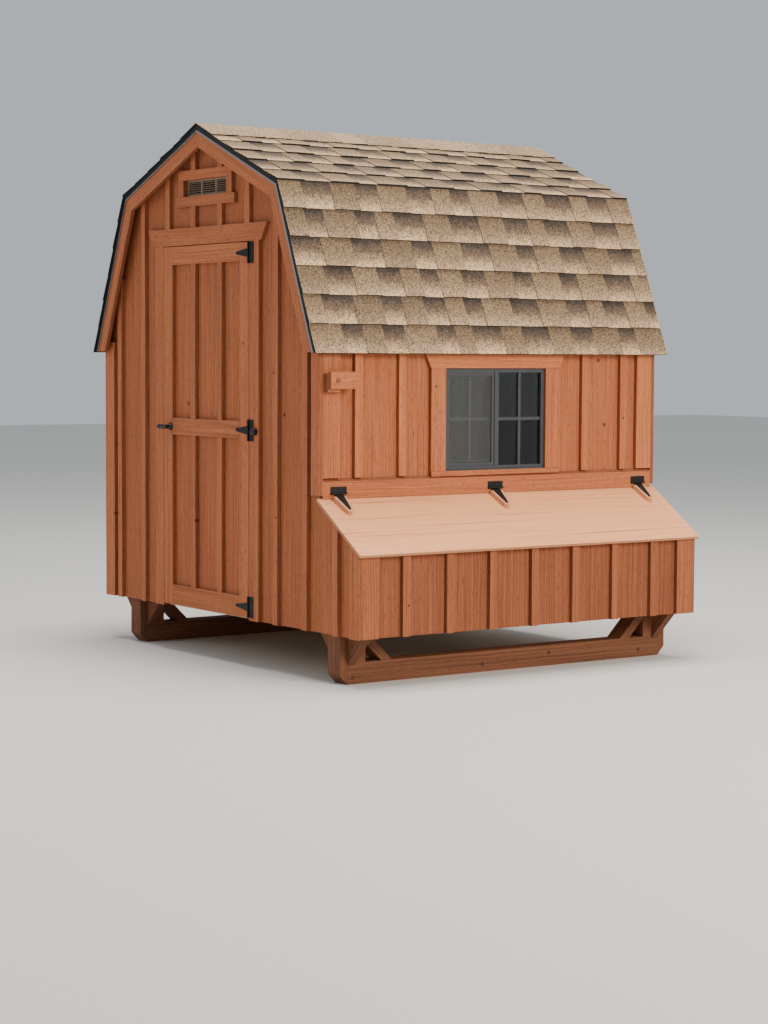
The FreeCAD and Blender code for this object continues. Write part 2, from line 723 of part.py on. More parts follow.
RAKE_TOP = "deck_depth + fit_gap"
RAKE_BOTTOM = "deck_depth + fit_gap + rake_width"
PACKER_BOTTOM = "deck_depth + fit_gap + rake_packer_width"
RAKE_BACKS = (DECK_SPAN[0] + " + rake_thickness", DECK_SPAN[1] + " - rake_thickness")
RAKE_PIECES = {
    "board_front": (RAKE_BOTTOM, DECK_SPAN[0], RAKE_BACKS[0]),
    "board_back": (RAKE_BOTTOM, RAKE_BACKS[1], DECK_SPAN[1]),
    "packer_front": (PACKER_BOTTOM, RAKE_BACKS[0], "front"),
    "packer_back": (PACKER_BOTTOM, "back", RAKE_BACKS[1]),
}
rakes = []
for label, (bottom, low, high) in RAKE_PIECES.items():
    for side in SIDES:
        rakes.append(prism("rake_low_%s_%s" % (label, side), "XZ", lower_band(
            side, RAKE_TOP, bottom, "rake_lift"), low, high))
        rakes.append(prism("rake_high_%s_%s" % (label, side), "XZ", upper_band(
            side, RAKE_TOP, bottom), low, high))
node(group("rake_boards", rakes))

# ------------------------------------------------------------------ siding
SIDING_DEPTH = ("trim_thickness", "siding_back")
SIDING_TOP_DEPTH = "deck_depth + fit_gap"


def gable_siding(wall):
    """One gable's siding: a padded outline with its openings cut as pockets."""
    body = doc.addObject("PartDesign::Body", wall + "_wall_siding")
    plane = next(f for f in body.Origin.OriginFeatures if f.Role == "XZ_Plane")
    low, high = between(*GABLES[wall], *SIDING_DEPTH)
    shape = outline(wall + "_gable", "XZ", gable_outline("trim_thickness", SIDING_TOP_DEPTH,
                                                         "floor_clearance"), "0")
    seat(shape, body, plane, high)
    pad = body.newObject("PartDesign::Pad", wall + "_gable_pad")
    pad.Profile = shape
    bind(pad, "Length", "siding_thickness")
    openings = [("vent", vent_box())]
    if wall == "door":
        openings.append(("doorway", (("door_left - door_gap", "door_right + door_gap"),
                                     ("floor_clearance - fit_gap", "door_top + door_gap"))))
    for label, (xs, zs) in openings:
        corners = [(xs[0], zs[0]), (xs[1], zs[0]), (xs[1], zs[1]), (xs[0], zs[1])]
        hole = outline("%s_%s" % (wall, label), "XZ", corners, "0")
        seat(hole, body, plane, low)
        pocket = body.newObject("PartDesign::Pocket", "%s_%s_pocket" % (wall, label))
        pocket.Profile = hole
        pocket.Type = "ThroughAll"
        pocket.Midplane = True
    return body


def seat(sketch, body, plane, depth):
    """Put a sketch into a body on its own XZ plane, at a place along Y."""
    body.addObject(sketch)
    sketch.setExpression("Placement.Base.y", None)
    sketch.AttachmentSupport = (plane, [""])
    sketch.MapMode = "FlatFace"
    bind(sketch, "AttachmentOffset.Base.z", "-(%s)" % depth)


def vent_box():
    return (("middle - vent_width / 2", "middle + vent_width / 2"),
            ("vent_bottom", "vent_bottom + vent_height"))


node(gable_siding("door"))
node(gable_siding("back"))

nest_siding = box("nest_siding_sheet", ("right - siding_back", "right - trim_thickness"), FRAME_Y,
                  ("nest_opening_top", "trim_top"))
window_hole = box("window_hole", ("right - siding_back - 5", "right - trim_thickness + 5"),
                  ("window_near - fit_gap", "window_far + fit_gap"),
                  ("window_bottom - fit_gap", "window_top + fit_gap"))
node(cut("nest_wall_siding", nest_siding, window_hole))

hen_siding = box("hen_siding_sheet", ("left + trim_thickness", "left + siding_back"), FRAME_Y,
                 ("floor_clearance", "trim_top"))
hen_hole = box("hen_hole", ("left + trim_thickness - 5", "left + siding_back + 5"),
               ("hen_near - door_gap", "hen_far + door_gap"),
               ("hen_bottom - door_gap", "hen_top + hen_top_gap"))
node(cut("hen_wall_siding", hen_siding, hen_hole))

# nest box walls: their tops follow the lid's underside
NEST_INNER = "nest_front - siding_back"


def lid_under(across):
    """Height just under the closed lid, at a place along X."""
    return ("nest_slope_top - ((%s) - right + trim_thickness) * tan(lid_slope)"
            " - lid_thickness / cos(lid_slope) - lid_rest_gap" % across)


def under_lid(name, low_x, high_x, foot, span, drop="0"):
    """A board in the XZ plane whose top follows the lid."""
    corners = [(low_x, foot), (high_x, foot), (high_x, lid_under(high_x) + " - " + drop),
               (low_x, lid_under(low_x) + " - " + drop)]
    return prism(name, "XZ", corners, *span)


nest_panels = [under_lid("nest_end_" + wall, "right - trim_thickness", NEST_INNER, "floor_clearance",
                         between(*GABLES[wall], *SIDING_DEPTH)) for wall in GABLES]
nest_panels.append(box("nest_front_panel", (NEST_INNER, "nest_front - trim_thickness"),
                       ("front + trim_thickness", "back - trim_thickness"),
                       ("floor_clearance", lid_under("nest_front - trim_thickness"))))
node(group("nest_box_panels", nest_panels))


def divider(index):
    middle_y = divider_middle(index)
    shoulder = lid_under("right") + " - divider_drop"
    corners = [(FRAME_X[1], "deck_top"), (NEST_INNER, "deck_top"),
               (NEST_INNER, lid_under(NEST_INNER) + " - divider_drop"), ("right", shoulder),
               (FRAME_X[1], shoulder)]
    return prism("divider_%d" % index, "XZ", corners, middle_y + " - nest_divider_thickness / 2",
                 middle_y + " + nest_divider_thickness / 2")


nest_boards = [divider(index) for index in range(1, int(value("nest_divider_count")) + 1)]
nest_boards.append(box("nest_lip", ("right - frame_back - trim_thickness", "right - frame_back"), SIDE_Y,
                       ("deck_top", "deck_top + stud_width + nest_lip_height")))
node(group("nest_dividers", nest_boards))

# ------------------------------------------------------------------ battens and corner boards
TRIM_FACE = ("0", "trim_thickness")


def clear_of(low, high, other_low, other_high):
    """True when two stretches don't meet."""
    return value(high) <= value(other_low) or value(low) >= value(other_high)


def gable_batten(wall, index):
    """One batten line of a gable, in lengths that leave out the door, its head trim and the vent."""
    low_x = "left + gable_batten_start + %d * gable_batten_pitch - batten_width / 2" % index
    high_x = low_x + " + batten_width"
    outer = "middle - (%s)" % low_x if value(low_x) < value("middle") else "%s - middle" % high_x
    foot = "floor_clearance"
    stretches = []
    if wall == "door" and not clear_of(low_x, high_x, *DOOR_HEAD):
        if clear_of(low_x, high_x, *DOOR_CASING):
            stretches.append((foot, "door_top + door_gap"))
        foot = HEAD_TOP
    if not clear_of(low_x, high_x, *VENT_SILL):
        stretches.append((foot, "vent_bottom - vent_trim_width"))
        foot = "vent_bottom + vent_height + vent_trim_width"
    stretches.append((foot, roof_height(outer, SIDING_TOP_DEPTH)))
    return [box("batten_%s_%d_%d" % (wall, index, part), (low_x, high_x),
                between(*GABLES[wall], *TRIM_FACE), span) for part, span in enumerate(stretches)]


DOOR_CASING = ("door_left - door_gap - casing_width", "door_right + door_gap + casing_width")
HEAD_HALF = "door_width / 2 + door_gap + casing_width + head_trim_overhang"
HEAD_TOP = "door_top + door_gap + head_trim_height"
DOOR_HEAD = ("door_middle - (%s) - head_trim_flare" % HEAD_HALF,
             "door_middle + %s + head_trim_flare" % HEAD_HALF)
VENT_SILL = ("middle - vent_width / 2 - vent_trim_width - vent_sill_overhang",
             "middle + vent_width / 2 + vent_trim_width + vent_sill_overhang")
BATTEN_ROOM = "body_width - corner_board_width - batten_width / 2 - fit_gap - gable_batten_start"
GABLE_BATTENS = int(value(BATTEN_ROOM) // value("gable_batten_pitch")) + 1
for wall in GABLES:
    node(group(wall + "_wall_battens",
               sum([gable_batten(wall, index) for index in range(GABLE_BATTENS)], [])))


def side_batten(name, wall, middle_y, zs):
    return box(name, wall, (middle_y + " - batten_width / 2", middle_y + " + batten_width / 2"), zs)


RIGHT_TRIM = ("right - trim_thickness", "right")
LEFT_TRIM = ("left", "left + trim_thickness")
NEST_TRIM = ("nest_front - trim_thickness", "nest_front")
ABOVE_RAIL = ("rail_clear_top + fit_gap", "trim_top")
BELOW_LID = ("floor_clearance", lid_under("nest_front"))
FULL_SIDE = ("floor_clearance", "trim_top")
HEN_CASING = ("hen_near - door_gap - narrow_corner_width", "hen_far + door_gap + narrow_corner_width")
ABOVE_HEN = ("hen_top + hen_top_gap + narrow_corner_width", "trim_top")

side_battens = []
for way in (-1, 1):
    for step in (0, 1):
        line = "window_middle + %d * (window_batten_reach + %d * side_batten_pitch)" % (way, step)
        side_battens.append(side_batten("nest_batten_%s_%d" % ("near" if way < 0 else "far", step),
                                        RIGHT_TRIM, line, ABOVE_RAIL))
for step in range(-3, 4):
    line = "centre + %d * side_batten_pitch" % step
    free = clear_of(line + " - batten_width / 2", line + " + batten_width / 2", *HEN_CASING)
    side_battens.append(side_batten("hen_batten_%d" % (step + 3), LEFT_TRIM, line,
                                    FULL_SIDE if free else ABOVE_HEN))
    if not free:
        side_battens.append(side_batten("hen_low_batten_%d" % (step + 3), LEFT_TRIM, line, (
            "floor_clearance", "hen_bottom - door_gap - narrow_corner_width")))
node(group("side_wall_battens", side_battens))

nest_trims = [side_batten("nest_front_batten_%d" % (step + 3), NEST_TRIM,
                          "centre + %d * side_batten_pitch" % step, BELOW_LID) for step in range(-3, 4)]
corner_boards = []
for wall, (start, way) in GABLES.items():
    face = between(start, way, *TRIM_FACE)
    beside = between(start, way, "trim_thickness", "trim_thickness + corner_board_width")
    gable_top = roof_height("half", SIDING_TOP_DEPTH)
    corner_boards += [
        box("corner_left_" + wall, ("left", "left + corner_board_width"), face,
            ("floor_clearance", gable_top)),
        box("corner_right_" + wall, ("right - narrow_corner_width", "right"), face,
            ("nest_slope_top + 5", gable_top)),
        box("corner_side_right_" + wall, RIGHT_TRIM, beside, ABOVE_RAIL),
        box("corner_side_left_" + wall, LEFT_TRIM, beside, FULL_SIDE),
    ]
    nest_trims += [
        box("nest_corner_" + wall, NEST_TRIM, beside, BELOW_LID),
        under_lid("nest_end_corner_" + wall, "nest_front - narrow_corner_width", "nest_front",
                  "floor_clearance", face),
        under_lid("nest_end_batten_" + wall, "right + nest_end_batten - batten_width / 2",
                  "right + nest_end_batten + batten_width / 2", "floor_clearance", face),
    ]
node(group("corner_boards", corner_boards))
node(group("nest_box_trims", nest_trims))

# ------------------------------------------------------------------ rail over the nests
node(prism("hinge_rail", "XZ", [
    ("right", "rail_bottom"), ("right", "rail_bottom + rail_height"),
    ("right - trim_thickness", "rail_bottom + rail_height + rail_bevel"),
    ("right - trim_thickness", "rail_bottom + rail_bevel"),
], "front + trim_thickness", "back - trim_thickness"))

# ------------------------------------------------------------------ casings
LOUVRE_SLATS = 6
DOOR_FACE = ("front", "front + trim_thickness")
HEAD_FOOT = "door_top + door_gap"
STOP_Y = ("front + siding_back + fit_gap", "front + siding_back + fit_gap + trim_thickness")
STOP_LEFT = ("door_left - door_gap", "door_left - door_gap + door_stop_width")
STOP_RIGHT = ("door_right + door_gap - door_stop_width", "door_right + door_gap")
node(group("door_casing", [
    box("door_casing_left", (DOOR_CASING[0], "door_left - door_gap"), DOOR_FACE,
        ("floor_clearance", HEAD_FOOT)),
    box("door_casing_right", ("door_right + door_gap", DOOR_CASING[1]), DOOR_FACE,
        ("floor_clearance", HEAD_FOOT)),
    prism("door_head_trim", "XZ", [
        ("door_middle - (%s)" % HEAD_HALF, HEAD_FOOT), ("door_middle + " + HEAD_HALF, HEAD_FOOT),
        ("door_middle + %s + head_trim_flare" % HEAD_HALF, HEAD_TOP),
        ("door_middle - (%s) - head_trim_flare" % HEAD_HALF, HEAD_TOP)], *DOOR_FACE),
    box("stop_left_low", STOP_LEFT, STOP_Y, ("deck_top", "handle_height - latch_bar_width")),
    box("stop_left_high", STOP_LEFT, STOP_Y,
        ("handle_height + latch_bar_length + latch_bar_width", "door_top + door_gap")),
    box("stop_right", STOP_RIGHT, STOP_Y, ("deck_top", "door_top + door_gap")),
    box("stop_top", (STOP_LEFT[1], STOP_RIGHT[0]), STOP_Y,
        ("door_top + door_gap - door_stop_width", "door_top + door_gap")),
]))

WINDOW_HALF = "window_width / 2 + window_casing_width"
WINDOW_HEAD = ("window_top", "window_top + window_head_height")
node(group("window_casing", [
    box("window_casing_near", RIGHT_TRIM, ("window_near - window_casing_width", "window_near"),
        ("window_bottom", "window_top")),
    box("window_casing_far", RIGHT_TRIM, ("window_far", "window_far + window_casing_width"),
        ("window_bottom", "window_top")),
    prism("window_sill", "XZ", [
        ("right - trim_thickness", "rail_clear_top + fit_gap"),
        ("right + sill_reach", "window_bottom - sill_height"),
        ("right + sill_reach", "window_bottom"), ("right - trim_thickness", "window_bottom")],
        "window_middle - (%s)" % WINDOW_HALF, "window_middle + " + WINDOW_HALF),
    prism("window_head_trim", "YZ", [
        ("window_middle - (%s)" % WINDOW_HALF, WINDOW_HEAD[0]),
        ("window_middle + " + WINDOW_HALF, WINDOW_HEAD[0]),
        ("window_middle + %s + window_head_flare" % WINDOW_HALF, WINDOW_HEAD[1]),
        ("window_middle - (%s) - window_head_flare" % WINDOW_HALF, WINDOW_HEAD[1])], *RIGHT_TRIM),
]))

HEN_SIDE = ("hen_bottom", "hen_top + hen_top_gap")
node(group("hen_door_casing", [
    box("hen_casing_near", LEFT_TRIM, (HEN_CASING[0], "hen_near - door_gap"), HEN_SIDE),
    box("hen_casing_far", LEFT_TRIM, ("hen_far + door_gap", HEN_CASING[1]), HEN_SIDE),
    box("hen_casing_top", LEFT_TRIM, HEN_CASING, (HEN_SIDE[1], ABOVE_HEN[0])),
    box("hen_casing_foot", LEFT_TRIM, HEN_CASING,
        ("hen_bottom - door_gap - narrow_corner_width", "hen_bottom - door_gap")),
]))

VENT_SIDE_HALF = "vent_width / 2 + vent_trim_width"
vent_trims = []
vent_grilles = []
for wall, (start, way) in GABLES.items():
    face = between(start, way, *TRIM_FACE)
    (vent_left, vent_right), (vent_foot, vent_head) = vent_box()
    vent_trims += [
        box("vent_left_" + wall, ("middle - (%s)" % VENT_SIDE_HALF, vent_left), face, vent_box()[1]),
        box("vent_right_" + wall, (vent_right, "middle + " + VENT_SIDE_HALF), face, vent_box()[1]),
        box("vent_top_" + wall, ("middle - (%s)" % VENT_SIDE_HALF, "middle + " + VENT_SIDE_HALF), face,
            (vent_head, vent_head + " + vent_trim_width")),
        box("vent_sill_" + wall, VENT_SILL, face, ("vent_bottom - vent_trim_width", "vent_bottom")),
    ]
    depth = between(start, way, "siding_back - louvre_depth", "siding_back")
    rim = box("louvre_rim_" + wall, (vent_left, vent_right), depth, vent_box()[1])
    hole = box("louvre_hole_" + wall, (vent_left + " + louvre_rim", vent_right + " - louvre_rim"),
               (depth[0] + " - 1", depth[1] + " + 1"),
               (vent_foot + " + louvre_rim", vent_head + " - louvre_rim"))
    bars = [box("louvre_bar_%s_%d" % (wall, index),
                ("middle + %d * vent_width / 6 - louvre_rim / 2" % index,
                 "middle + %d * vent_width / 6 + louvre_rim / 2" % index), depth,
                (vent_foot, vent_head)) for index in (-1, 1)]
    slats = []
    for index in range(LOUVRE_SLATS):
        pitch = "(vent_height - 2 * louvre_rim) / %d" % LOUVRE_SLATS
        low_z = "%s + louvre_rim + (%d + 0.2) * %s" % (vent_foot, index, pitch)
        outer = "%s + %s * (siding_back - louvre_depth + louvre_thickness)" % (start, way)
        inner = "%s + %s * (siding_back - louvre_thickness)" % (start, way)
        slats.append(prism("louvre_%s_%d" % (wall, index), "YZ", [
            (outer, low_z), (inner, low_z + " + 0.5 * " + pitch),
            (inner, low_z + " + 0.5 * %s + louvre_thickness" % pitch),
            (outer, low_z + " + louvre_thickness")],
            vent_left + " + louvre_rim / 2", vent_right + " - louvre_rim / 2"))
    vent_grilles.append(fuse("louvre_grille_" + wall, cut("louvre_ring_" + wall, rim, hole),
                             *bars, *slats))
node(group("vent_trims", vent_trims))
node(group("vent_louvres", vent_grilles))

# ------------------------------------------------------------------ window
def ring(name, xs, ys, zs, bar):
    """A rectangular frame in the YZ plane."""
    outer = box(name + "_outer", xs, ys, zs)
    inner = box(name + "_inner", (xs[0] + " - 1", xs[1] + " + 1"), (ys[0] + " + " + bar, ys[1] + " - " + bar),
                (zs[0] + " + " + bar, zs[1] + " - " + bar))
    return cut(name, outer, inner)


def grid(name, xs, ys, zs):
    """Muntins: one upright and one level bar across a pane."""
    middle_y = "(%s + %s) / 2" % ys
    middle_z = "(%s + %s) / 2" % zs
    return [
        box(name + "_upright", xs, (middle_y + " - muntin_width / 2", middle_y + " + muntin_width / 2"), zs),
        box(name + "_level", xs, ys, (middle_z + " - muntin_width / 2", middle_z + " + muntin_width / 2")),
    ]


FRAME_DEPTH = ("window_face - window_frame_depth", "window_face")
INNER_Y = ("window_near + window_frame_width", "window_far - window_frame_width")
INNER_Z = ("window_bottom + window_frame_width", "window_top - window_frame_width")
PANE_Y = ("window_middle + mullion_width", INNER_Y[1])
PANE_X = ("window_face - 14", "window_face - 14 + glass_thickness")
node(fuse("window_frame",
          ring("window_ring", FRAME_DEPTH, ("window_near", "window_far"), ("window_bottom", "window_top"),
               "window_frame_width"),
          box("mullion", ("window_face - 20", "window_face - 2"),
              ("window_middle", "window_middle + mullion_width"), INNER_Z),
          *grid("pane_grid", (PANE_X[1], "window_face - 5"), PANE_Y, INNER_Z)))
node(box("window_pane", PANE_X, PANE_Y, INNER_Z))

SCREEN_Y = (INNER_Y[0], "window_middle - 2")
SCREEN_X = ("window_face - 14", "window_face - 4")
node(group("window_screen", [
    ring("screen_frame", SCREEN_X, SCREEN_Y, INNER_Z, "screen_bar_width"),
    box("screen_mesh", ("window_face - 9.5", "window_face - 8.5"),
        (SCREEN_Y[0] + " + screen_bar_width", SCREEN_Y[1] + " - screen_bar_width"),
        (INNER_Z[0] + " + screen_bar_width", INNER_Z[1] + " - screen_bar_width")),
]))

SASH_X = ("window_face - 42", "window_face - 42 + sash_depth")
SASH_Y = (INNER_Y[0] + " + sash_play", "window_middle + mullion_width")
SASH_Z = (INNER_Z[0] + " + sash_play", INNER_Z[1] + " - sash_play")
GLASS_Y = (SASH_Y[0] + " + sash_bar_width", SASH_Y[1] + " - sash_bar_width")
GLASS_Z = (SASH_Z[0] + " + sash_bar_width", SASH_Z[1] + " - sash_bar_width")
SASH_GLASS_X = ("window_face - 38", "window_face - 38 + glass_thickness")
node(fuse("sash_frame", ring("sash_ring", SASH_X, SASH_Y, SASH_Z, "sash_bar_width"),
          *grid("sash_grid", (SASH_GLASS_X[1], SASH_X[1]), GLASS_Y, GLASS_Z)))
node(box("sash_glass", SASH_GLASS_X, GLASS_Y, GLASS_Z))

# ------------------------------------------------------------------ T-hinges
# A hinge half is drawn about its pin, which lies along the local Y axis.  Its leaf reaches along
# local X, and local Z points away from the surface that it is screwed to.
LEAF_Z = ("-knuckle_radius", "-knuckle_radius + leaf_thickness")


def hinge_plate(name, length, width, root):
    """The plate with the two outer knuckles and the pin."""
    pieces = [box(name + "_leaf", ("knuckle_radius + hinge_play", width),
                  ("-(%s) / 2" % length, length + " / 2"), LEAF_Z),
              rod(name + "_pin", "y", ("0", "0"), "-(%s) / 2" % length, length + " / 2", "pin_radius")]
    inner = root + " / 2 + hinge_play"
    for label, low, high in (("a", "-(%s) / 2" % length, "-(%s)" % inner), ("b", inner, length + " / 2")):
        pieces.append(rod(name + "_knuckle_" + label, "y", ("0", "0"), low, high, "knuckle_radius"))
        pieces.append(box(name + "_web_" + label, ("0", "knuckle_radius + hinge_play"), (low, high), LEAF_Z))
    return fuse(name, *pieces)


def hinge_strap(name, length, root):
    """The tapered strap with the middle knuckle, bored to run on the pin."""
    tip = length + " - strap_tip_width / 2"
    leaf = prism(name + "_leaf", "XY", [
        ("0", "-(%s) / 2" % root), (tip, "-strap_tip_width / 2"), (tip, "strap_tip_width / 2"),
        ("0", root + " / 2")], *LEAF_Z)
    nose = rod(name + "_nose", "z", (tip, "0"), *LEAF_Z, "strap_tip_width / 2")
    knuckle = rod(name + "_knuckle", "y", ("0", "0"), "-(%s) / 2" % root, root + " / 2", "knuckle_radius")
    bore = rod(name + "_bore", "y", ("0", "0"), "-(%s) / 2 - 1" % root, root + " / 2 + 1",
               "pin_radius + pin_clearance")
    return cut(name, fuse(name + "_blank", leaf, nose, knuckle), bore)


def place(item, position, leaf_way, outward):
    """Put a local piece at a pin: its leaf along one direction, its face outward along another."""
    item = group(item.Name + "_placed", [item])
    item.Placement.Rotation = FreeCAD.Rotation(leaf_way, outward.cross(leaf_way), outward, "ZXY")
    for axis, text in zip("xyz", position):
        bind(item, "Placement.Base." + axis, text)
    return item


X, Y, Z = Vector(1, 0, 0), Vector(0, 1, 0), Vector(0, 0, 1)
plates = []
door_straps = []
for height in ("top_hinge_height", "mid_hinge_height", "low_hinge_height"):
    pin = ("door_pin_x", "door_pin_y", height)
    plates.append(place(hinge_plate("plate_" + height, "door_plate_height", "door_plate_width",
                                    "door_strap_root"), pin, X, -Y))
    door_straps.append(place(hinge_strap("strap_" + height, "door_strap_length", "door_strap_root"),
                             pin, -X, -Y))
node(group("door_hinge_plates", plates))

hen_plates = []
hen_straps = []
for label, line in (("near", "hen_near + hen_hinge_inset"), ("far", "hen_far - hen_hinge_inset")):
    pin = ("hen_pin_x", line, "hen_pin_z")
    hen_plates.append(place(hinge_plate("hen_plate_" + label, "hen_plate_height", "door_plate_width",
                                        "hen_plate_height / 2"), pin, -Z, -X))
    hen_straps.append(place(hinge_strap("hen_strap_" + label, "hen_strap_length", "hen_plate_height / 2"),
                            pin, Z, -X))
node(group("hen_hinge_plates", hen_plates))

LID_HINGES = {"near": "front + lid_hinge_inset", "middle": "centre", "far": "back - lid_hinge_inset"}
node(group("lid_hinge_plates", [place(
    hinge_plate("lid_plate_" + label, "lid_plate_length", "lid_plate_height", "lid_strap_root"),
    ("lid_pin_x", line, "lid_pin_z"), Z, X) for label, line in LID_HINGES.items()]))

# ------------------------------------------------------------------ lid, drawn about its pin
def lid_group(name, pieces):
    item = group(name, pieces)
    item.Placement.Rotation = FreeCAD.Rotation(Y, 1)
    bind(item, "Placement.Rotation.Angle", "lid_slope")
    bind(item, "Placement.Base.x", "lid_pin_x")
    bind(item, "Placement.Base.z", "lid_pin_z")
    return node(item)


def pad(label, line):
    """The tapered wooden pad between a strap and the lid."""
    zs = ("-pin_above_lid", "-knuckle_radius")
    root = "lid_strap_root / 2 + pad_margin"
    nose = "strap_tip_width / 2 + pad_margin"
    tip = "lid_strap_length - strap_tip_width / 2"
    leaf = prism("pad_leaf_" + label, "XY", [
        ("pad_start", "%s - (%s)" % (line, root)), (tip, "%s - (%s)" % (line, nose)),
        (tip, "%s + %s" % (line, nose)), ("pad_start", "%s + %s" % (line, root))], *zs)
    return fuse("pad_" + label, leaf, rod("pad_nose_" + label, "z", (tip, line), *zs, nose))


def moved_strap(label, line):
    item = group("lid_strap_at_" + label, [hinge_strap("lid_strap_" + label, "lid_strap_length",
                                                       "lid_strap_root")])
    bind(item, "Placement.Base.y", line)
    return item


lid_group("nest_lid", [box("lid_sheet", ("0", "lid_length"),
                           ("front - lid_end_overhang", "back + lid_end_overhang"),
                           ("-pin_above_lid - lid_thickness", "-pin_above_lid"))])
lid_group("lid_pads", [pad(label, line) for label, line in LID_HINGES.items()])
lid_group("lid_hinge_straps", [moved_strap(label, line) for label, line in LID_HINGES.items()])

# ------------------------------------------------------------------ door
SPINDLE_BORE = "spindle_radius + pin_clearance"
HANDLE_LINE = ("handle_x", "handle_height")


def spindle_bore(name):
    return rod(name, "y", HANDLE_LINE, "front - 20", "front + siding_back + 20", SPINDLE_BORE)


node(cut("door_panel",
         box("door_sheet", ("door_left", "door_right"), ("front + trim_thickness", "front + siding_back"),
             ("door_bottom", "door_top")),
         spindle_bore("panel_bore")))

RAIL_X = ("door_left + stile_width", "door_right - stile_width")
TOP_RAIL_FOOT = "door_top - top_rail_height"
LOW_RAIL_TOP = "door_bottom + bottom_rail_height"
node(group("door_rails_and_stiles", [
    cut("stile_latch", box("stile_left", ("door_left", RAIL_X[0]), DOOR_FACE, ("door_bottom", "door_top")),
        spindle_bore("stile_bore")),
    box("stile_hinge", (RAIL_X[1], "door_right"), DOOR_FACE, ("door_bottom", "door_top")),
    box("rail_top", RAIL_X, DOOR_FACE, (TOP_RAIL_FOOT, "door_top")),
    box("rail_mid", RAIL_X, DOOR_FACE, ("mid_rail_bottom", "mid_rail_top")),
    box("rail_low", RAIL_X, DOOR_FACE, ("door_bottom", LOW_RAIL_TOP)),
]))

door_battens = []
for index in range(GABLE_BATTENS):
    line = "left + gable_batten_start + %d * gable_batten_pitch" % index
    low_x, high_x = line + " - batten_width / 2", line + " + batten_width / 2"
    if value(low_x) > value(RAIL_X[0]) and value(high_x) < value(RAIL_X[1]):
        for label, foot, head in (("low", LOW_RAIL_TOP, "mid_rail_bottom"),
                                  ("high", "mid_rail_top", TOP_RAIL_FOOT)):
            door_battens.append(box("door_batten_%s_%d" % (label, index), (low_x, high_x),
                                    DOOR_FACE, (foot, head)))
node(group("door_battens", door_battens))
node(group("door_hinge_straps", door_straps))

node(cut("handle_rose",
         fuse("rose_body",
              rod("rose_disc", "y", HANDLE_LINE, "front - rose_thickness", "front", "rose_radius"),
              rod("rose_collar", "y", HANDLE_LINE, "front - collar_depth", "front", "collar_radius")),
         spindle_bore("rose_bore")))


def ball(name, centre, radius):
    item = doc.addObject("Part::Sphere", name)
    bind(item, "Radius", radius)
    for axis, text in zip("xyz", centre):
        bind(item, "Placement.Base." + axis, text)
    return item


BAR_Y = "front - handle_reach"
BAR_ENDS = ("handle_x - handle_bar_length / 2 + handle_bar_radius",
            "handle_x + handle_bar_length / 2 - handle_bar_radius")
LATCH_Y = ("front + siding_back + fit_gap", "front + siding_back + fit_gap + latch_bar_thickness")
node(fuse("t_handle",
          rod("handle_bar", "x", (BAR_Y, "handle_height"), *BAR_ENDS, "handle_bar_radius"),
          ball("handle_end_left", (BAR_ENDS[0], BAR_Y, "handle_height"), "handle_bar_radius"),
          ball("handle_end_right", (BAR_ENDS[1], BAR_Y, "handle_height"), "handle_bar_radius"),
          rod("spindle", "y", HANDLE_LINE, BAR_Y, LATCH_Y[1], "spindle_radius"),
          box("latch_bar", ("handle_x - latch_bar_width / 2", "handle_x + latch_bar_width / 2"), LATCH_Y,
              ("handle_height - latch_bar_width / 2", "handle_height + latch_bar_length"))))

ball_middle = ("door_right + ball_offset", "front - ball_radius + 5", "mid_hinge_height - 5")
node(cut("door_stop_ball", ball("stop_ball", ball_middle, "ball_radius"),
         box("ball_wall", ("door_right", "door_right + 100"), ("front", "front + 50"),
             ("mid_hinge_height - 50", "mid_hinge_height + 50"))))

# ------------------------------------------------------------------ hen door, which drops as a ramp
HEN_Y = ("hen_near", "hen_far")
HEN_Z = ("hen_bottom", "hen_top")
HEN_RAIL_Y = ("hen_near + hen_rail_width", "hen_far - hen_rail_width")
HEN_PANEL_X = ("left + trim_thickness", "left + siding_back")
node(box("hen_door_panel", HEN_PANEL_X, HEN_Y, HEN_Z))
node(group("hen_door_rails", [
    box("hen_stile_near", LEFT_TRIM, ("hen_near", HEN_RAIL_Y[0]), HEN_Z),
    box("hen_stile_far", LEFT_TRIM, (HEN_RAIL_Y[1], "hen_far"), HEN_Z),
    box("hen_rail_low", LEFT_TRIM, HEN_RAIL_Y, ("hen_bottom", "hen_bottom + hen_rail_width")),
    box("hen_rail_top", LEFT_TRIM, HEN_RAIL_Y, ("hen_top - hen_rail_width", "hen_top")),
]))
CLEATS = 5
node(group("hen_door_cleats", [box(
    "cleat_%d" % index, ("left + siding_back", "left + siding_back + cleat_thickness"),
    ("hen_near + hen_rail_width / 2", "hen_far - hen_rail_width / 2"),
    ("hen_bottom + %g * hen_door_height" % ((index + 0.6) / CLEATS),
     "hen_bottom + %g * hen_door_height + cleat_height" % ((index + 0.6) / CLEATS)))
    for index in range(CLEATS)]))
node(group("hen_hinge_straps", hen_straps))

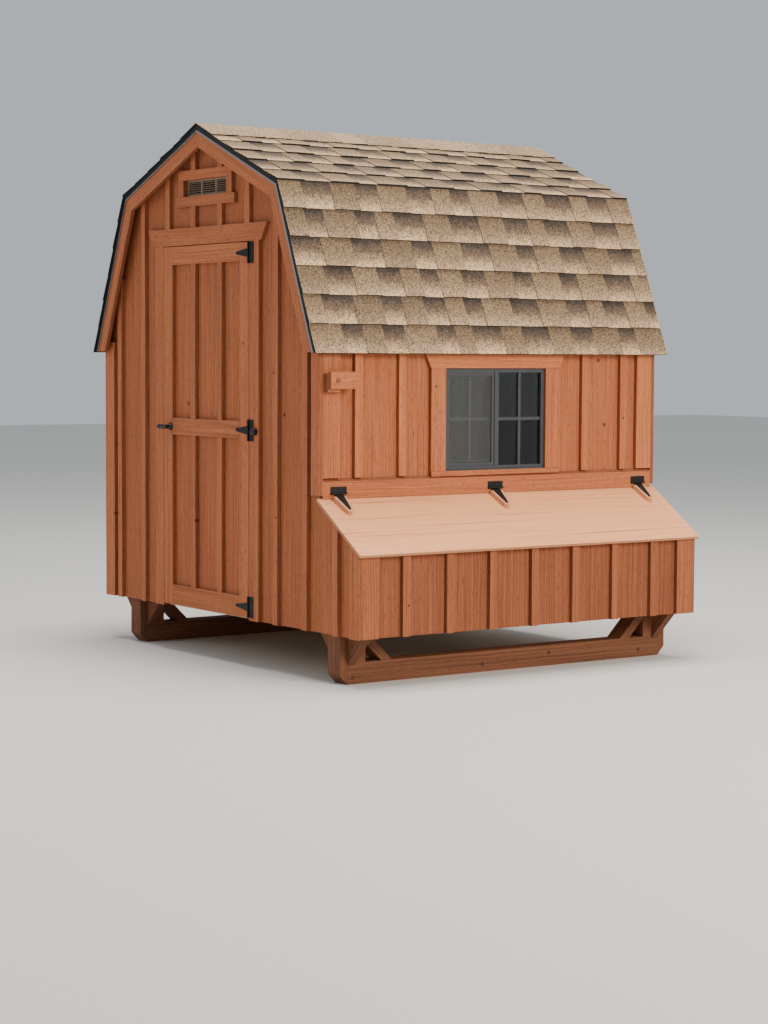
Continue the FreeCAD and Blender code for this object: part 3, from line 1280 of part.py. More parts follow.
# ------------------------------------------------------------------ turn buttons
PIVOT_Y = "front + button_setback + button_height / 2"
BLOCK_X = ("right", "right + block_thickness")
BUTTON_X = (BLOCK_X[1] + " + fit_gap", BLOCK_X[1] + " + fit_gap + button_thickness")
BUTTON_Y = ("front + button_setback", "front + button_setback + button_length")
BUTTON_Z = ("button_centre - button_height / 2", "button_centre + button_height / 2")
node(box("button_block", BLOCK_X, ("front + button_setback - 2", "front + button_setback + block_width"),
         (BUTTON_Z[0] + " - block_drop", BUTTON_Z[1] + " - block_drop / 2")))
node(cut("lid_button",
         prism("lid_button_blank", "YZ", [
             (BUTTON_Y[0], BUTTON_Z[0]), (BUTTON_Y[1] + " - button_chamfer", BUTTON_Z[0]),
             (BUTTON_Y[1], BUTTON_Z[0] + " + button_chamfer"), (BUTTON_Y[1], BUTTON_Z[1]),
             (BUTTON_Y[0], BUTTON_Z[1])], *BUTTON_X),
         rod("lid_button_bore", "x", (PIVOT_Y, "button_centre"), BUTTON_X[0] + " - 5", BUTTON_X[1] + " + 5",
             "bolt_radius + pin_clearance")))

HEN_PIVOT = ("hen_middle", "hen_top + hen_top_gap + narrow_corner_width / 2")
HEN_BUTTON_X = ("left - fit_gap - hen_button_thickness", "left - fit_gap")
node(cut("hen_button",
         box("hen_button_blank", HEN_BUTTON_X,
             (HEN_PIVOT[0] + " - hen_button_height / 2",
              HEN_PIVOT[0] + " - hen_button_height / 2 + hen_button_length"),
             (HEN_PIVOT[1] + " - hen_button_height / 2", HEN_PIVOT[1] + " + hen_button_height / 2")),
         rod("hen_button_bore", "x", HEN_PIVOT, "left - 40", "left + 5", "bolt_radius + pin_clearance")))
node(group("button_bolts", [
    fuse("lid_bolt",
         rod("lid_bolt_shank", "x", (PIVOT_Y, "button_centre"), BLOCK_X[1], BUTTON_X[1] + " + fit_gap",
             "bolt_radius"),
         rod("lid_bolt_head", "x", (PIVOT_Y, "button_centre"), BUTTON_X[1] + " + fit_gap",
             BUTTON_X[1] + " + fit_gap + bolt_head_thickness", "bolt_head_radius")),
    fuse("hen_bolt",
         rod("hen_bolt_shank", "x", HEN_PIVOT, HEN_BUTTON_X[0] + " - fit_gap", "left", "bolt_radius"),
         rod("hen_bolt_head", "x", HEN_PIVOT, HEN_BUTTON_X[0] + " - fit_gap - bolt_head_thickness",
             HEN_BUTTON_X[0] + " - fit_gap", "bolt_head_radius")),
]))

# ------------------------------------------------------------------ roosts
ROOST_Z = ("deck_top + roost_height", "deck_top + roost_height + roost_size")
CLEAT_Z = (ROOST_Z[0] + " - joist_depth", ROOST_Z[0])
roosts = []
for index in range(2):
    low_x = "left + roost_inset + %d * roost_spacing" % index
    roosts.append(box("roost_%d" % index, (low_x, low_x + " + roost_size"), SIDE_Y, ROOST_Z))
ROOST_END = "left + roost_inset + roost_spacing + roost_size"
CLEAT_STUDS = {"door": DOOR_STUD_LEFT[0], "back": back_stud(BACK_STUD_SHARES[0])}
for wall, (start, way) in GABLES.items():
    cleat_end = max(ROOST_END, CLEAT_STUDS[wall] + " + cleat_bearing", key=value)
    roosts.append(box("roost_cleat_" + wall, (FRAME_X[0] + " + stud_depth", cleat_end),
                      between(start, way, "frame_back", "frame_back + trim_thickness"), CLEAT_Z))
node(group("roost_bars", roosts))

# ------------------------------------------------------------------ check and write
doc.recompute()
faulty = [item.Name for item in doc.Objects if "Invalid" in item.State or "Error" in item.State]
if faulty:
    raise RuntimeError("objects not built: " + ", ".join(faulty))
for item in nodes:
    if item.Shape.isNull() or not item.Shape.isValid() or not item.Shape.Solids:
        raise RuntimeError("bad shape: " + item.Label)
os.makedirs("parts", exist_ok=True)
for item in nodes:
    item.Shape.exportStep("parts/%s.step" % item.Label)
print("%d nodes, %d solids" % (len(nodes), sum(len(item.Shape.Solids) for item in nodes)))
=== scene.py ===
# %% [markdown]
# # A gambrel chicken coop, finished in Blender
# The coop is a timber box on two skids, clad in rough-sawn panels with battens over their seams.  Its
# boards, hinges and windows come from a CAD model, already in place and in metres.  This lesson
# gives every surface its real finish and builds the pieces that the CAD only hints at: the shingles,
# the folded roof edging, the woven screen, the screws and the cast handle.

# %% Load the model
import json
import math
import random

import bmesh
import bpy
from mathutils import Matrix, Vector


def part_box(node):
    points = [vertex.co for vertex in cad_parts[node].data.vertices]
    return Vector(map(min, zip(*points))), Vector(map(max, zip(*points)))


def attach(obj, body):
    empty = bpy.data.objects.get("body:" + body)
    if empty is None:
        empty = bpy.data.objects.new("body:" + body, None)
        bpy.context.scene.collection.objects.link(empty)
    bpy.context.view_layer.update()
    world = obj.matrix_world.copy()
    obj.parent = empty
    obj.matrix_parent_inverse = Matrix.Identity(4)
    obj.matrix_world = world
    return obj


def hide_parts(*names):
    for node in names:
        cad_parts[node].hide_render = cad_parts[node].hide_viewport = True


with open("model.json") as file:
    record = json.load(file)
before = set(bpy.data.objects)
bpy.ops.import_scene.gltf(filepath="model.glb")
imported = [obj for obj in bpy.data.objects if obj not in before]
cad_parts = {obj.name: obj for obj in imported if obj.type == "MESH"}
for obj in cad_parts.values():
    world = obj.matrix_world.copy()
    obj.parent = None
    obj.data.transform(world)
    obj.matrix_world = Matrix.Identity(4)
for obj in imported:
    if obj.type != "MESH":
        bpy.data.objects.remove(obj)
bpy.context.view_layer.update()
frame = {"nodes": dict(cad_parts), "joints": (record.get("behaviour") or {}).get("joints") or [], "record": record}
MM = 0.001

# %% [markdown]
# ## Two small helpers
# Colours are easiest to choose as the hex values of a colour picker, but a shader works in linear
# light.  One function converts them.  A second adds a node, sets it and links it in one line, so a
# material reads from top to bottom like a recipe.

# %% Colour and node helpers
def linear(hex_colour):
    """An sRGB hex value as linear red, green, blue and alpha."""
    parts = [int(hex_colour[i:i + 2], 16) / 255 for i in (1, 3, 5)]
    return tuple(p / 12.92 if p <= 0.04045 else ((p + 0.055) / 1.055) ** 2.4 for p in parts) + (1.0,)


def add(tree, kind, inputs=None, **settings):
    """Add a node.  inputs maps a socket to a value, or to the output that feeds it."""
    node = tree.nodes.new(kind)
    for name, setting in settings.items():
        setattr(node, name, setting)
    for socket, source in (inputs or {}).items():
        if isinstance(source, bpy.types.NodeSocket):
            tree.links.new(source, node.inputs[socket])
        else:
            node.inputs[socket].default_value = source
    return node


def stops(ramp, *pairs):
    """Give a colour ramp its (place, hex colour) stops."""
    elements = ramp.color_ramp.elements
    while len(elements) < len(pairs):
        elements.new(1.0)
    for element, (place, colour) in zip(elements, pairs):
        element.position = place
        element.color = linear(colour)
    return ramp


def new_material(name):
    """An empty material and its node tree."""
    material = bpy.data.materials.new(name)
    material.use_nodes = True
    material.node_tree.nodes.clear()
    return material, material.node_tree


print("helpers ready; the stain's mid colour is", [round(c, 3) for c in linear("#A8643F")[:3]])

# %% [markdown]
# ## Boards that know their own grain
# Real grain runs along each board, whichever way the board is nailed.  A texture laid over the whole coop would
# run one way only, so every board carries its own coordinates instead: metres along its length, across its width
# and through its thickness, shifted by a random amount so that no two boards share a pattern.  Saw-cut edges are
# never razor sharp, so each is eased by about a millimetre, which gives it a soft line of light.  Each face also
# records whether it is a cut edge, so that the finish can darken it: partly the deeper stain that cut wood drinks,
# partly painted shade along the boards' sides; a nearly square stick has four faces and only its ends are cut.

# %% Split a CAD part into its boards
def solids(node):
    """Each closed solid of a CAD part: its corners, and the faces between them."""
    mesh = frame["nodes"][node].data
    corners, faces, open_edges, found = {}, [], set(), []
    for polygon in mesh.polygons:
        spots = [tuple(round(c, 6) for c in mesh.vertices[i].co) for i in polygon.vertices]
        loop = [corners.setdefault(spot, len(corners)) for spot in spots]
        if len(set(loop)) < 3:
            continue
        faces.append(loop)
        for start, end in zip(loop, loop[1:] + loop[:1]):
            if (end, start) in open_edges:
                open_edges.remove((end, start))
            else:
                open_edges.add((start, end))
        if not open_edges:
            found.append((list(corners), faces))
            corners, faces = {}, []
    return found


# %% Ease a board's edges and give it grain coordinates
shuffle = random.Random(7)
SHIFT = 9.0     # metres; how far a board's pattern may be moved along each axis
NEARLY_SQUARE = 0.75    # thickness over width; above it a stick has no cut sides
FACING = 0.8            # how closely a face must look along an axis to count as lying across it


def board_axes(piece, along):
    """A board's own axes: along its grain, across its face and through it."""
    if along is None:
        longest = max(piece.edges, key=lambda edge: edge.calc_length())
        along = (longest.verts[1].co - longest.verts[0].co).normalized()
    faces = [face for face in piece.faces if abs(face.normal.dot(along)) < 0.5]
    through = max(faces, key=lambda face: face.calc_area()).normal
    across = through.cross(along).normalized()
    return along, across, along.cross(across)


def extent(piece, axis):
    """How far a board reaches along an axis."""
    reach = [vert.co.dot(axis) for vert in piece.verts]
    return max(reach) - min(reach)


def eased_boards(node, ease=1.2 * MM, along=None):
    """A CAD part's boards again as one object, with eased edges and grain coordinates."""
    points, faces, grain, tone, cut_edge = [], [], [], [], []
    for corners, loops in solids(node):
        piece = bmesh.new()
        made = [piece.verts.new(corner) for corner in corners]
        for loop in loops:
            piece.faces.new([made[i] for i in loop])
        piece.normal_update()
        bmesh.ops.dissolve_limit(piece, angle_limit=0.01, verts=piece.verts[:], edges=piece.edges[:])
        axes = board_axes(piece, along)
        bmesh.ops.bevel(piece, geom=piece.edges[:], offset=ease, segments=2, profile=0.5,
                        affect="EDGES", clamp_overlap=True)
        piece.verts.index_update()
        width, thickness = extent(piece, axes[1]), extent(piece, axes[2])
        nearly_square = thickness > NEARLY_SQUARE * width
        shift = Vector([shuffle.uniform(-SHIFT, SHIFT) for _ in range(3)])
        board_tone = shuffle.random()
        start = len(points)
        for vert in piece.verts:
            points.append(tuple(vert.co))
            grain.extend(Vector([vert.co.dot(axis) for axis in axes]) + shift)
            tone.append(board_tone)
        for face in piece.faces:
            faces.append([start + vert.index for vert in face.verts])
            # faces marked here as cut edges are darkened in the finish: deeper stain, and painted shade along the
            # boards' sides
            on_face = abs(face.normal.dot(axes[2])) > FACING
            on_side = abs(face.normal.dot(axes[1])) > FACING
            cut_edge.append(0.0 if on_face or (on_side and nearly_square) else 1.0)
        piece.free()
    mesh = bpy.data.meshes.new(node + "_boards")
    mesh.from_pydata(points, [], faces)
    mesh.attributes.new("grain", "FLOAT_VECTOR", "POINT").data.foreach_set("vector", grain)
    mesh.attributes.new("board", "FLOAT", "POINT").data.foreach_set("value", tone)
    mesh.attributes.new("cut_edge", "FLOAT", "FACE").data.foreach_set("value", cut_edge)
    return show(node + "_boards", mesh)


def show(name, mesh):
    """Put a mesh into the scene as an object."""
    obj = bpy.data.objects.new(name, mesh)
    bpy.context.scene.collection.objects.link(obj)
    return obj


BODY_OF = {node: body for body, nodes in frame["record"]["behaviour"]["bodies"].items() for node in nodes}
SLOT_OF = {part["node"]: part["material_slot"] for part in frame["record"]["subparts"]}


def stand_for(obj, node, material):
    """Let an object stand for a CAD part: same body, its own finish, and the part hidden."""
    obj.data.materials.clear()
    obj.data.materials.append(material)
    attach(obj, BODY_OF[node])
    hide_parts(node)
    return obj


print("the corner boards are", len(solids("corner_boards")), "boards")

# %% [markdown]
# ## Wood
# The cladding is softwood, band-sawn rough and stained with an oil that lets the grain show.  Three
# things make it look real: growth rings as long streaks, short dark pores where the saw tore the
# fibres, and a few knots.  Rings and pores are noise stretched along the board, and knots are the cores
# of sparse Voronoi cells.  A wave texture would give tidier rings, but rough-sawn softwood is
# irregular, so noise is closer.  Oil stain sinks in, so the surface is matt; its IOR is that of a
# drying oil, 1.47.

# %% The wood recipe
def streaks(tree, grain, stretch, width_mm, roughness):
    """Noise drawn out along the grain."""
    squeezed = add(tree, "ShaderNodeVectorMath", {0: grain, 1: (1 / stretch, 1, 1)}, operation="MULTIPLY")
    return add(tree, "ShaderNodeTexNoise", {"Vector": squeezed.outputs["Vector"],
                                            "Scale": 1 / (width_mm * MM),
                                            "Detail": 2, "Roughness": roughness})


WANDER_MM, BLOTCH_MM = 220, 350     # how often the grain bends, and how wide its uneven patches are
WANDER = 12 * MM                    # how far it bends


def wood(name, colours, ring_mm=5, ring_stretch=120, ring_places=(0.22, 0.50, 0.80),
         pore_mm=6, pore_stretch=5, pore_dark=0.8,
         knot_every_mm=400, knot_mm=13, knot_colour="#4A2412",
         spread=0.14, edge_stain_and_shade=0.4, rough=0.82, relief_mm=0.6):
    """A wood finish.

    colours: the ring colours from late wood to early wood, at ring_places on the ramp
    ..._stretch: how many times longer than wide a streak is
    spread: how much boards differ in brightness
    edge_stain_and_shade: how much darker a cut edge is, from deeper stain and from painted shade along the boards'
    sides
    """
    material, tree = new_material(name)
    grain = add(tree, "ShaderNodeAttribute", attribute_name="grain").outputs["Vector"]
    board = add(tree, "ShaderNodeAttribute", attribute_name="board").outputs["Fac"]

    wander = add(tree, "ShaderNodeTexNoise", {"Vector": grain, "Scale": 1 / (WANDER_MM * MM), "Detail": 1})
    drift = add(tree, "ShaderNodeVectorMath", {0: wander.outputs["Color"], 1: (0, WANDER, 0)},
                operation="MULTIPLY")
    bent = add(tree, "ShaderNodeVectorMath", {0: grain, 1: drift.outputs["Vector"]}, operation="ADD")

    rings = streaks(tree, bent.outputs["Vector"], ring_stretch, ring_mm, 0.5)
    ring_colour = stops(add(tree, "ShaderNodeValToRGB", {"Fac": rings.outputs["Fac"]}),
                        *zip(ring_places, colours))

    pores = streaks(tree, bent.outputs["Vector"], pore_stretch, pore_mm, 0.7)
    pore_mask = add(tree, "ShaderNodeMapRange", {"Value": pores.outputs["Fac"], "From Min": 0.55,
                                                 "From Max": 0.70, "To Min": 0.0, "To Max": pore_dark})
    with_pores = add(tree, "ShaderNodeMix", {"Factor": pore_mask.outputs["Result"],
                                             "A": ring_colour.outputs["Color"],
                                             "B": linear(colours[0])}, data_type="RGBA")

    knots = add(tree, "ShaderNodeTexVoronoi", {"Vector": bent.outputs["Vector"],
                                               "Scale": 1 / (knot_every_mm * MM)}, voronoi_dimensions="2D")
    has_knot = add(tree, "ShaderNodeMath", {0: knots.outputs["Color"], 1: 0.5}, operation="GREATER_THAN")
    knot_edge = add(tree, "ShaderNodeMapRange", {
        "Value": knots.outputs["Distance"], "From Min": 0.35 * knot_mm / knot_every_mm,
        "From Max": knot_mm / knot_every_mm, "To Min": 0.85, "To Max": 0.0},
        interpolation_type="SMOOTHSTEP")
    knot_mask = add(tree, "ShaderNodeMath", {0: has_knot.outputs["Value"], 1: knot_edge.outputs["Result"]},
                    operation="MULTIPLY")
    with_knots = add(tree, "ShaderNodeMix", {"Factor": knot_mask.outputs["Value"],
                                             "A": with_pores.outputs["Result"],
                                             "B": linear(knot_colour)}, data_type="RGBA")

    blotch = add(tree, "ShaderNodeTexNoise", {"Vector": grain, "Scale": 1 / (BLOTCH_MM * MM), "Detail": 2})
    uneven = add(tree, "ShaderNodeMath", {0: board, 1: blotch.outputs["Fac"]}, operation="ADD")
    value = add(tree, "ShaderNodeMapRange", {"Value": uneven.outputs["Value"], "From Min": 0.2,
                                             "From Max": 1.8, "To Min": 1 - spread, "To Max": 1 + spread})
    # cut edges are darkened: the deeper stain of cut wood, and painted shade along the boards' sides
    cut_edge = add(tree, "ShaderNodeAttribute", attribute_name="cut_edge").outputs["Fac"]
    edge_darkening = add(tree, "ShaderNodeMapRange", {"Value": cut_edge, "To Min": 1.0, "To Max": 1 - edge_stain_and_shade})
    depth = add(tree, "ShaderNodeMath", {0: value.outputs["Result"], 1: edge_darkening.outputs["Result"]},
                operation="MULTIPLY")
    stained = add(tree, "ShaderNodeHueSaturation", {"Color": with_knots.outputs["Result"],
                                                    "Value": depth.outputs["Value"]})

    height = add(tree, "ShaderNodeMath", {0: rings.outputs["Fac"], 1: pores.outputs["Fac"]},
                 operation="SUBTRACT")
    relief = add(tree, "ShaderNodeBump", {"Height": height.outputs["Value"], "Strength": 0.6,
                                          "Distance": relief_mm * MM})
    matt = add(tree, "ShaderNodeMapRange", {"Value": pores.outputs["Fac"], "To Min": rough - 0.1,
                                            "To Max": rough + 0.1})
    surface = add(tree, "ShaderNodeBsdfPrincipled", {"Base Color": stained.outputs["Color"],
                                                     "Roughness": matt.outputs["Result"],
                                                     "Normal": relief.outputs["Normal"], "IOR": 1.47})
    add(tree, "ShaderNodeOutputMaterial", {"Surface": surface.outputs["BSDF"]})
    return material


print("wood recipe ready; the grain bends by up to", WANDER / MM, "mm")

# %% [markdown]
# ## The stained cladding, trims and timbers
# One recipe serves every timber, with the colours and scales that set each apart.  Panels and trims share a
# red-brown stain.  Trims are cut from narrower stock, so their rings are finer.  The lid and its hinge pads have a
# lighter tan stain.  The frame inside is bare softwood, and the skids are given a darker, browner stain than the
# walls.

# %% Wood finishes
WOODS = {
    "stained_siding": wood("rough_sawn_panel_red_brown_stain", ("#8A4626", "#AE6239", "#C4784B")),
    "stained_trim": wood("rough_sawn_board_red_brown_stain", ("#904A29", "#B4673D", "#C87C50"), ring_mm=4,
                         knot_every_mm=330, knot_mm=9),
    "skid_lumber": wood("construction_timber_brown_stain", ("#54301C", "#74462B", "#885636"), ring_mm=8,
                        knot_every_mm=260, knot_mm=14, edge_stain_and_shade=0.15),
    "framing_lumber": wood("planed_spruce", ("#B58F60", "#CFAA79", "#DDBE90"), ring_mm=8, pore_dark=0.2,
                           knot_every_mm=300, knot_mm=12, knot_colour="#7A4A26", edge_stain_and_shade=0.0, rough=0.62,
                           relief_mm=0.15),
    "plywood": wood("softwood_plywood", ("#A98558", "#C6A171", "#D8B888"), ring_mm=22, ring_stretch=22,
                    pore_dark=0.2, knot_every_mm=380, knot_mm=14, knot_colour="#7A4A26", edge_stain_and_shade=0.2,
                    rough=0.68, relief_mm=0.2),
    "lid_board": wood("plywood_tan_stain", ("#C07F52", "#F0A36E", "#F6B281"), ring_mm=9, ring_stretch=80,
                      ring_places=(0.24, 0.40, 0.85), pore_stretch=16, pore_dark=0.3,
                      knot_every_mm=3000, knot_mm=10, knot_colour="#8A5A3C", spread=0.03, edge_stain_and_shade=0.45,
                      rough=0.55, relief_mm=0.2),
    "pad_wood": wood("board_tan_stain", ("#B67C54", "#D69C74", "#E4B088"), ring_mm=6, ring_stretch=25,
                     knot_every_mm=3000, edge_stain_and_shade=0.1, rough=0.65, relief_mm=0.2),
}
# the front of the nest box gets a darker stain as painted shade under the lid; its two ends match the walls
LID_SHADED_NEST_FRONT = {
    "nest_box_panels": wood("nest_panel_painted_lid_shade", ("#64331B", "#864828", "#9A5B37")),
    "nest_box_trims": wood("nest_board_painted_lid_shade", ("#733C20", "#985530", "#AC6841"), ring_mm=4,
                           knot_every_mm=330, knot_mm=9),
}
UPRIGHT = Vector((0, 0, 1))
LENGTHWISE = Vector((0, 1, 0))
GRAIN = {"stained_siding": UPRIGHT, "plywood": LENGTHWISE, "lid_board": LENGTHWISE}
for node, slot in SLOT_OF.items():
    if slot in WOODS:
        stand_for(eased_boards(node, along=GRAIN.get(slot)), node, LID_SHADED_NEST_FRONT.get(node, WOODS[slot]))

END_SHEET = 13 * MM     # how far in from each end of the nest box a face still belongs to the end
nest_low, nest_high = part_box("nest_box_panels")
# the painted lid shade stays on the front; faces at the two ends take the walls' stain
for node in LID_SHADED_NEST_FRONT:
    mesh = bpy.data.objects[node + "_boards"].data
    mesh.materials.append(WOODS[SLOT_OF[node]])
    mesh.polygons.foreach_set("material_index", [
        0 if nest_low.y + END_SHEET < face.center.y < nest_high.y - END_SHEET else 1
        for face in mesh.polygons])
print("wooden parts:", sum(slot in WOODS for slot in SLOT_OF.values()))

# %% [markdown]
# ## Roof shape
# The shingles follow the CAD roof, so its corners are read from there: the ridge, the knee where the
# slope changes, and the eave.  From then on a place on the roof is a distance down the slope and a
# height above the decking.

# %% Read the slopes
roof_low, roof_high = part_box("roof_shingles")
MIDDLE = (roof_low.x + roof_high.x) / 2
SHINGLE_BUILD = 7 * MM      # the thickness that the CAD leaves for shingles
eave = Vector((roof_high.x - MIDDLE, roof_low.z))
ridge = Vector((0, roof_high.z))
outer_corners = [Vector((v.co.x - MIDDLE, v.co.z)) for v in frame["nodes"]["roof_shingles"].data.vertices
                 if v.co.x > MIDDLE + 0.1]
knee = max(outer_corners, key=lambda c: c.x / eave.x + (c.y - eave.y) / (ridge.y - eave.y))


class Slope:
    """One plane of the roof, from its upper line to its lower line."""

    def __init__(self, upper, lower, side):
        self.upper, self.side = upper, side
        self.length = (lower - upper).length
        self.down = (lower - upper).normalized()
        self.out = Vector((-self.down.y, self.down.x))

    def at_eave(self, distance):
        """Whether a distance down the slope is the roof's lowest edge."""
        return self.upper is knee and distance > self.length - 1 * MM

    def at(self, distance, height, y):
        """A point: down the slope, above the decking, and along the roof."""
        flat = self.upper + self.down * distance + self.out * (height - SHINGLE_BUILD)
        return Vector((MIDDLE + self.side * flat.x, y, flat.y))


print("slopes are", round((knee - eave).length, 3), "and", round((ridge - knee).length, 3), "m long")

# %% [markdown]
# ## Laminated shingles
# An architectural shingle is two layers of asphalt felt glued together.  The top layer is cut into
# teeth, so raised tabs stand beside gaps that show the layer below.  The maker shades the gap dark at
# its top, like a shadow, which makes a thin roof look thick.  A flat plane with a picture on it would
# lose the stepped edge, so each tab is its own slab, tilted because its head lies under the next
# course.

# %% Lay the courses
TAB_WIDTH = (88 * MM, 165 * MM)
GAP_WIDTH = (96 * MM, 160 * MM)
NARROWEST_END = 40 * MM                 # anything narrower at the roof's end joins the piece before it
RAISED, RECESSED = 9.5 * MM, 5.5 * MM   # height of the lower edge of a tab, and of a gap
SKEW_MM = 4                             # how far the joint between two pieces may lean
UNEVEN_MM = (-1.5, 0.5)                 # how far a lower edge may miss its line
HEAD = 1.5 * MM                         # height where a course goes under the next one
LAP = 12 * MM                           # how far it goes under


def slab(points, faces, corners):
    """Add a box from its eight corners: four of the lower ring, then four of the upper."""
    start = len(points)
    points += [tuple(corner) for corner in corners]
    for loop in ((3, 2, 1, 0), (4, 5, 6, 7), (0, 1, 5, 4), (1, 2, 6, 5), (2, 3, 7, 6), (3, 0, 4, 7)):
        faces.append([start + i for i in loop])


BUTT_FACES = (1.0, 0.0, 1.0, 1.0, 1.0, 1.0)     # the slab's faces that bear no granules


def course(slope, top, bottom, lap, near, far, store):
    """One course of shingles between two distances down a slope, from near to far along the roof."""
    points, faces, butt, down, tab, tone = store
    y_top = y_bottom = near
    raised = shuffle.random() < 0.5
    while y_bottom < far - 1 * MM:
        width = shuffle.uniform(*(TAB_WIDTH if raised else GAP_WIDTH))
        next_bottom = y_bottom + width
        if next_bottom > far - NARROWEST_END:
            next_bottom = far
        next_top = far if next_bottom == far else next_bottom + shuffle.uniform(-SKEW_MM, SKEW_MM) * MM
        edge = bottom + (shuffle.uniform(*UNEVEN_MM) * MM if bottom < slope.length - 1 * MM else 0)
        lift = RAISED if raised else RECESSED
        if slope.at_eave(bottom):
            lift = min(lift, SHINGLE_BUILD)
        corners = []
        for height_head, height_edge in ((0.0, 0.4 * MM), (HEAD, lift)):
            corners += [slope.at(top - lap, height_head, y_top), slope.at(top - lap, height_head, next_top),
                        slope.at(edge, height_edge, next_bottom), slope.at(edge, height_edge, y_bottom)]
        slab(points, faces, corners)
        butt.extend(BUTT_FACES)
        exposed = bottom - top
        down.extend([-lap / exposed, -lap / exposed, 1, 1] * 2)
        tab.extend([1.0 if raised else 0.0] * 8)
        tone.extend([shuffle.random()] * 8)
        y_top, y_bottom, raised = next_top, next_bottom, not raised


def finish_shingles(name, store):
    """Turn laid pieces into an object that carries what the finish needs."""
    points, faces, butt, down, tab, tone = store
    mesh = bpy.data.meshes.new(name)
    mesh.from_pydata(points, [], faces)
    for attribute, values in (("down", down), ("tab", tab), ("tone", tone)):
        mesh.attributes.new(attribute, "FLOAT", "POINT").data.foreach_set("value", values)
    mesh.attributes.new("butt", "FLOAT", "FACE").data.foreach_set("value", butt)
    repair = bmesh.new()
    repair.from_mesh(mesh)
    bmesh.ops.recalc_face_normals(repair, faces=repair.faces)
    repair.to_mesh(mesh)
    repair.free()
    return show(name, mesh)


LOWER_COURSES, UPPER_COURSES = 6, 5
UPPER_EXPOSURE = 126 * MM
TOP_LAP = 3 * MM        # the steep slope's first course starts at the knee, so it hardly goes under
laid = ([], [], [], [], [], [])
for side in (-1, 1):
    lower = Slope(knee, eave, side)
    upper = Slope(ridge, knee, side)
    step = lower.length / LOWER_COURSES
    for number in range(LOWER_COURSES):
        course(lower, number * step, (number + 1) * step, LAP if number else TOP_LAP, roof_low.y,
               roof_high.y, laid)
    for number in range(UPPER_COURSES):
        bottom = upper.length - number * UPPER_EXPOSURE
        course(upper, bottom - UPPER_EXPOSURE, bottom, LAP, roof_low.y, roof_high.y, laid)
shingles = finish_shingles("shingle_courses", laid)
print("shingle tabs and gaps:", len(laid[1]) // 6)

# %% [markdown]
# ## Ridge caps
# The ridge is covered by short pieces folded over it, each lapping the last, so every one stands a
# little higher at its exposed edge.

# %% Fold the caps
CAP_EXPOSURE = 142 * MM                             # how much of each cap shows along the ridge
CAP_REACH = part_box("ridge_cap")[1].x - MIDDLE       # how far it comes down, measured level
CAP_BUILD = 4 * MM                                  # its thickness at the exposed edge
caps = ([], [], [], [], [], [])
slopes = {side: Slope(ridge, knee, side) for side in (-1, 1)}
cap_length = CAP_REACH / slopes[1].down.x
count = round((roof_high.y - roof_low.y) / CAP_EXPOSURE)
cap_step = (roof_high.y - roof_low.y) / count
for number in range(count):
    near = roof_low.y + number * cap_step
    far = near + cap_step
    tail = max(near - LAP, roof_low.y)
    tone = shuffle.random()
    for side, slope in slopes.items():
        reach = cap_length - shuffle.uniform(2, 5) * MM
        corners = []
        for low_head, low_edge in ((SHINGLE_BUILD - 2 * MM, SHINGLE_BUILD - 1 * MM),
                                   (SHINGLE_BUILD + 0.8 * MM, SHINGLE_BUILD + CAP_BUILD - 0.2 * MM)):
            corners += [slope.at(0, low_edge, far), slope.at(0, low_head, tail),
                        slope.at(reach, low_head, tail), slope.at(reach, low_edge, far)]
        # the corners over the ridge are moved to its middle, where the two halves meet
        crest = ridge + Vector((0, CAP_BUILD / slope.out.y - 0.4 * MM))
        corners[4] = Vector((MIDDLE, far, crest.y))
        corners[5] = Vector((MIDDLE, tail, crest.y - 2.6 * MM))
        corners[0] = Vector((MIDDLE, far, ridge.y - 3 * MM))
        corners[1] = Vector((MIDDLE, tail, ridge.y - 3 * MM))
        slab(caps[0], caps[1], corners)
        caps[2].extend(BUTT_FACES)
        caps[3].extend([0.9] * 8)
        caps[4].extend([1.0] * 8)
        caps[5].extend([tone] * 8)
ridge_caps = finish_shingles("ridge_cap_shingles", caps)
print("ridge caps:", count)

# %% [markdown]
# ## Mineral granules
# Shingles are asphalt coated with crushed, coloured stone of about 1.5 mm.  That is too fine to show
# from a few metres, so the speckle is drawn at 8 mm.  The stone hides all gloss.  Colour comes from
# facts carried by each slab: whether it is a tab or a gap, how far down it a point lies, and its own
# random tone.  Its cut edges bear no granules and show the black asphalt.

# %% Asphalt shingle finish
GRANULE = 8 * MM
granules_material, tree = new_material("asphalt_shingle_mineral_granules")
place = add(tree, "ShaderNodeTexCoord").outputs["Object"]
down = add(tree, "ShaderNodeAttribute", attribute_name="down").outputs["Fac"]
tab = add(tree, "ShaderNodeAttribute", attribute_name="tab").outputs["Fac"]
tone = add(tree, "ShaderNodeAttribute", attribute_name="tone").outputs["Fac"]
smudge = add(tree, "ShaderNodeTexNoise", {"Vector": place, "Scale": 1 / (25 * MM), "Detail": 3})
ragged = add(tree, "ShaderNodeMapRange", {"Value": smudge.outputs["Fac"], "To Min": -0.22, "To Max": 0.22})
fade = add(tree, "ShaderNodeMath", {0: down, 1: ragged.outputs["Result"]}, operation="ADD")
gap_colour = stops(add(tree, "ShaderNodeValToRGB", {"Fac": fade.outputs["Value"]}),
                   (0.10, "#3C3129"), (0.45, "#65513F"), (0.72, "#9C8063"), (0.95, "#BE9F7B"))
tab_colour = stops(add(tree, "ShaderNodeValToRGB", {"Fac": fade.outputs["Value"]}),
                   (0.0, "#6B5740"), (0.6, "#826B50"), (1.0, "#A0866A"))
blend = add(tree, "ShaderNodeMix", {"Factor": tab, "A": gap_colour.outputs["Color"],
                                    "B": tab_colour.outputs["Color"]}, data_type="RGBA")
speckle = add(tree, "ShaderNodeTexNoise", {"Vector": place, "Scale": 1 / GRANULE, "Detail": 2,
                                           "Roughness": 0.8})
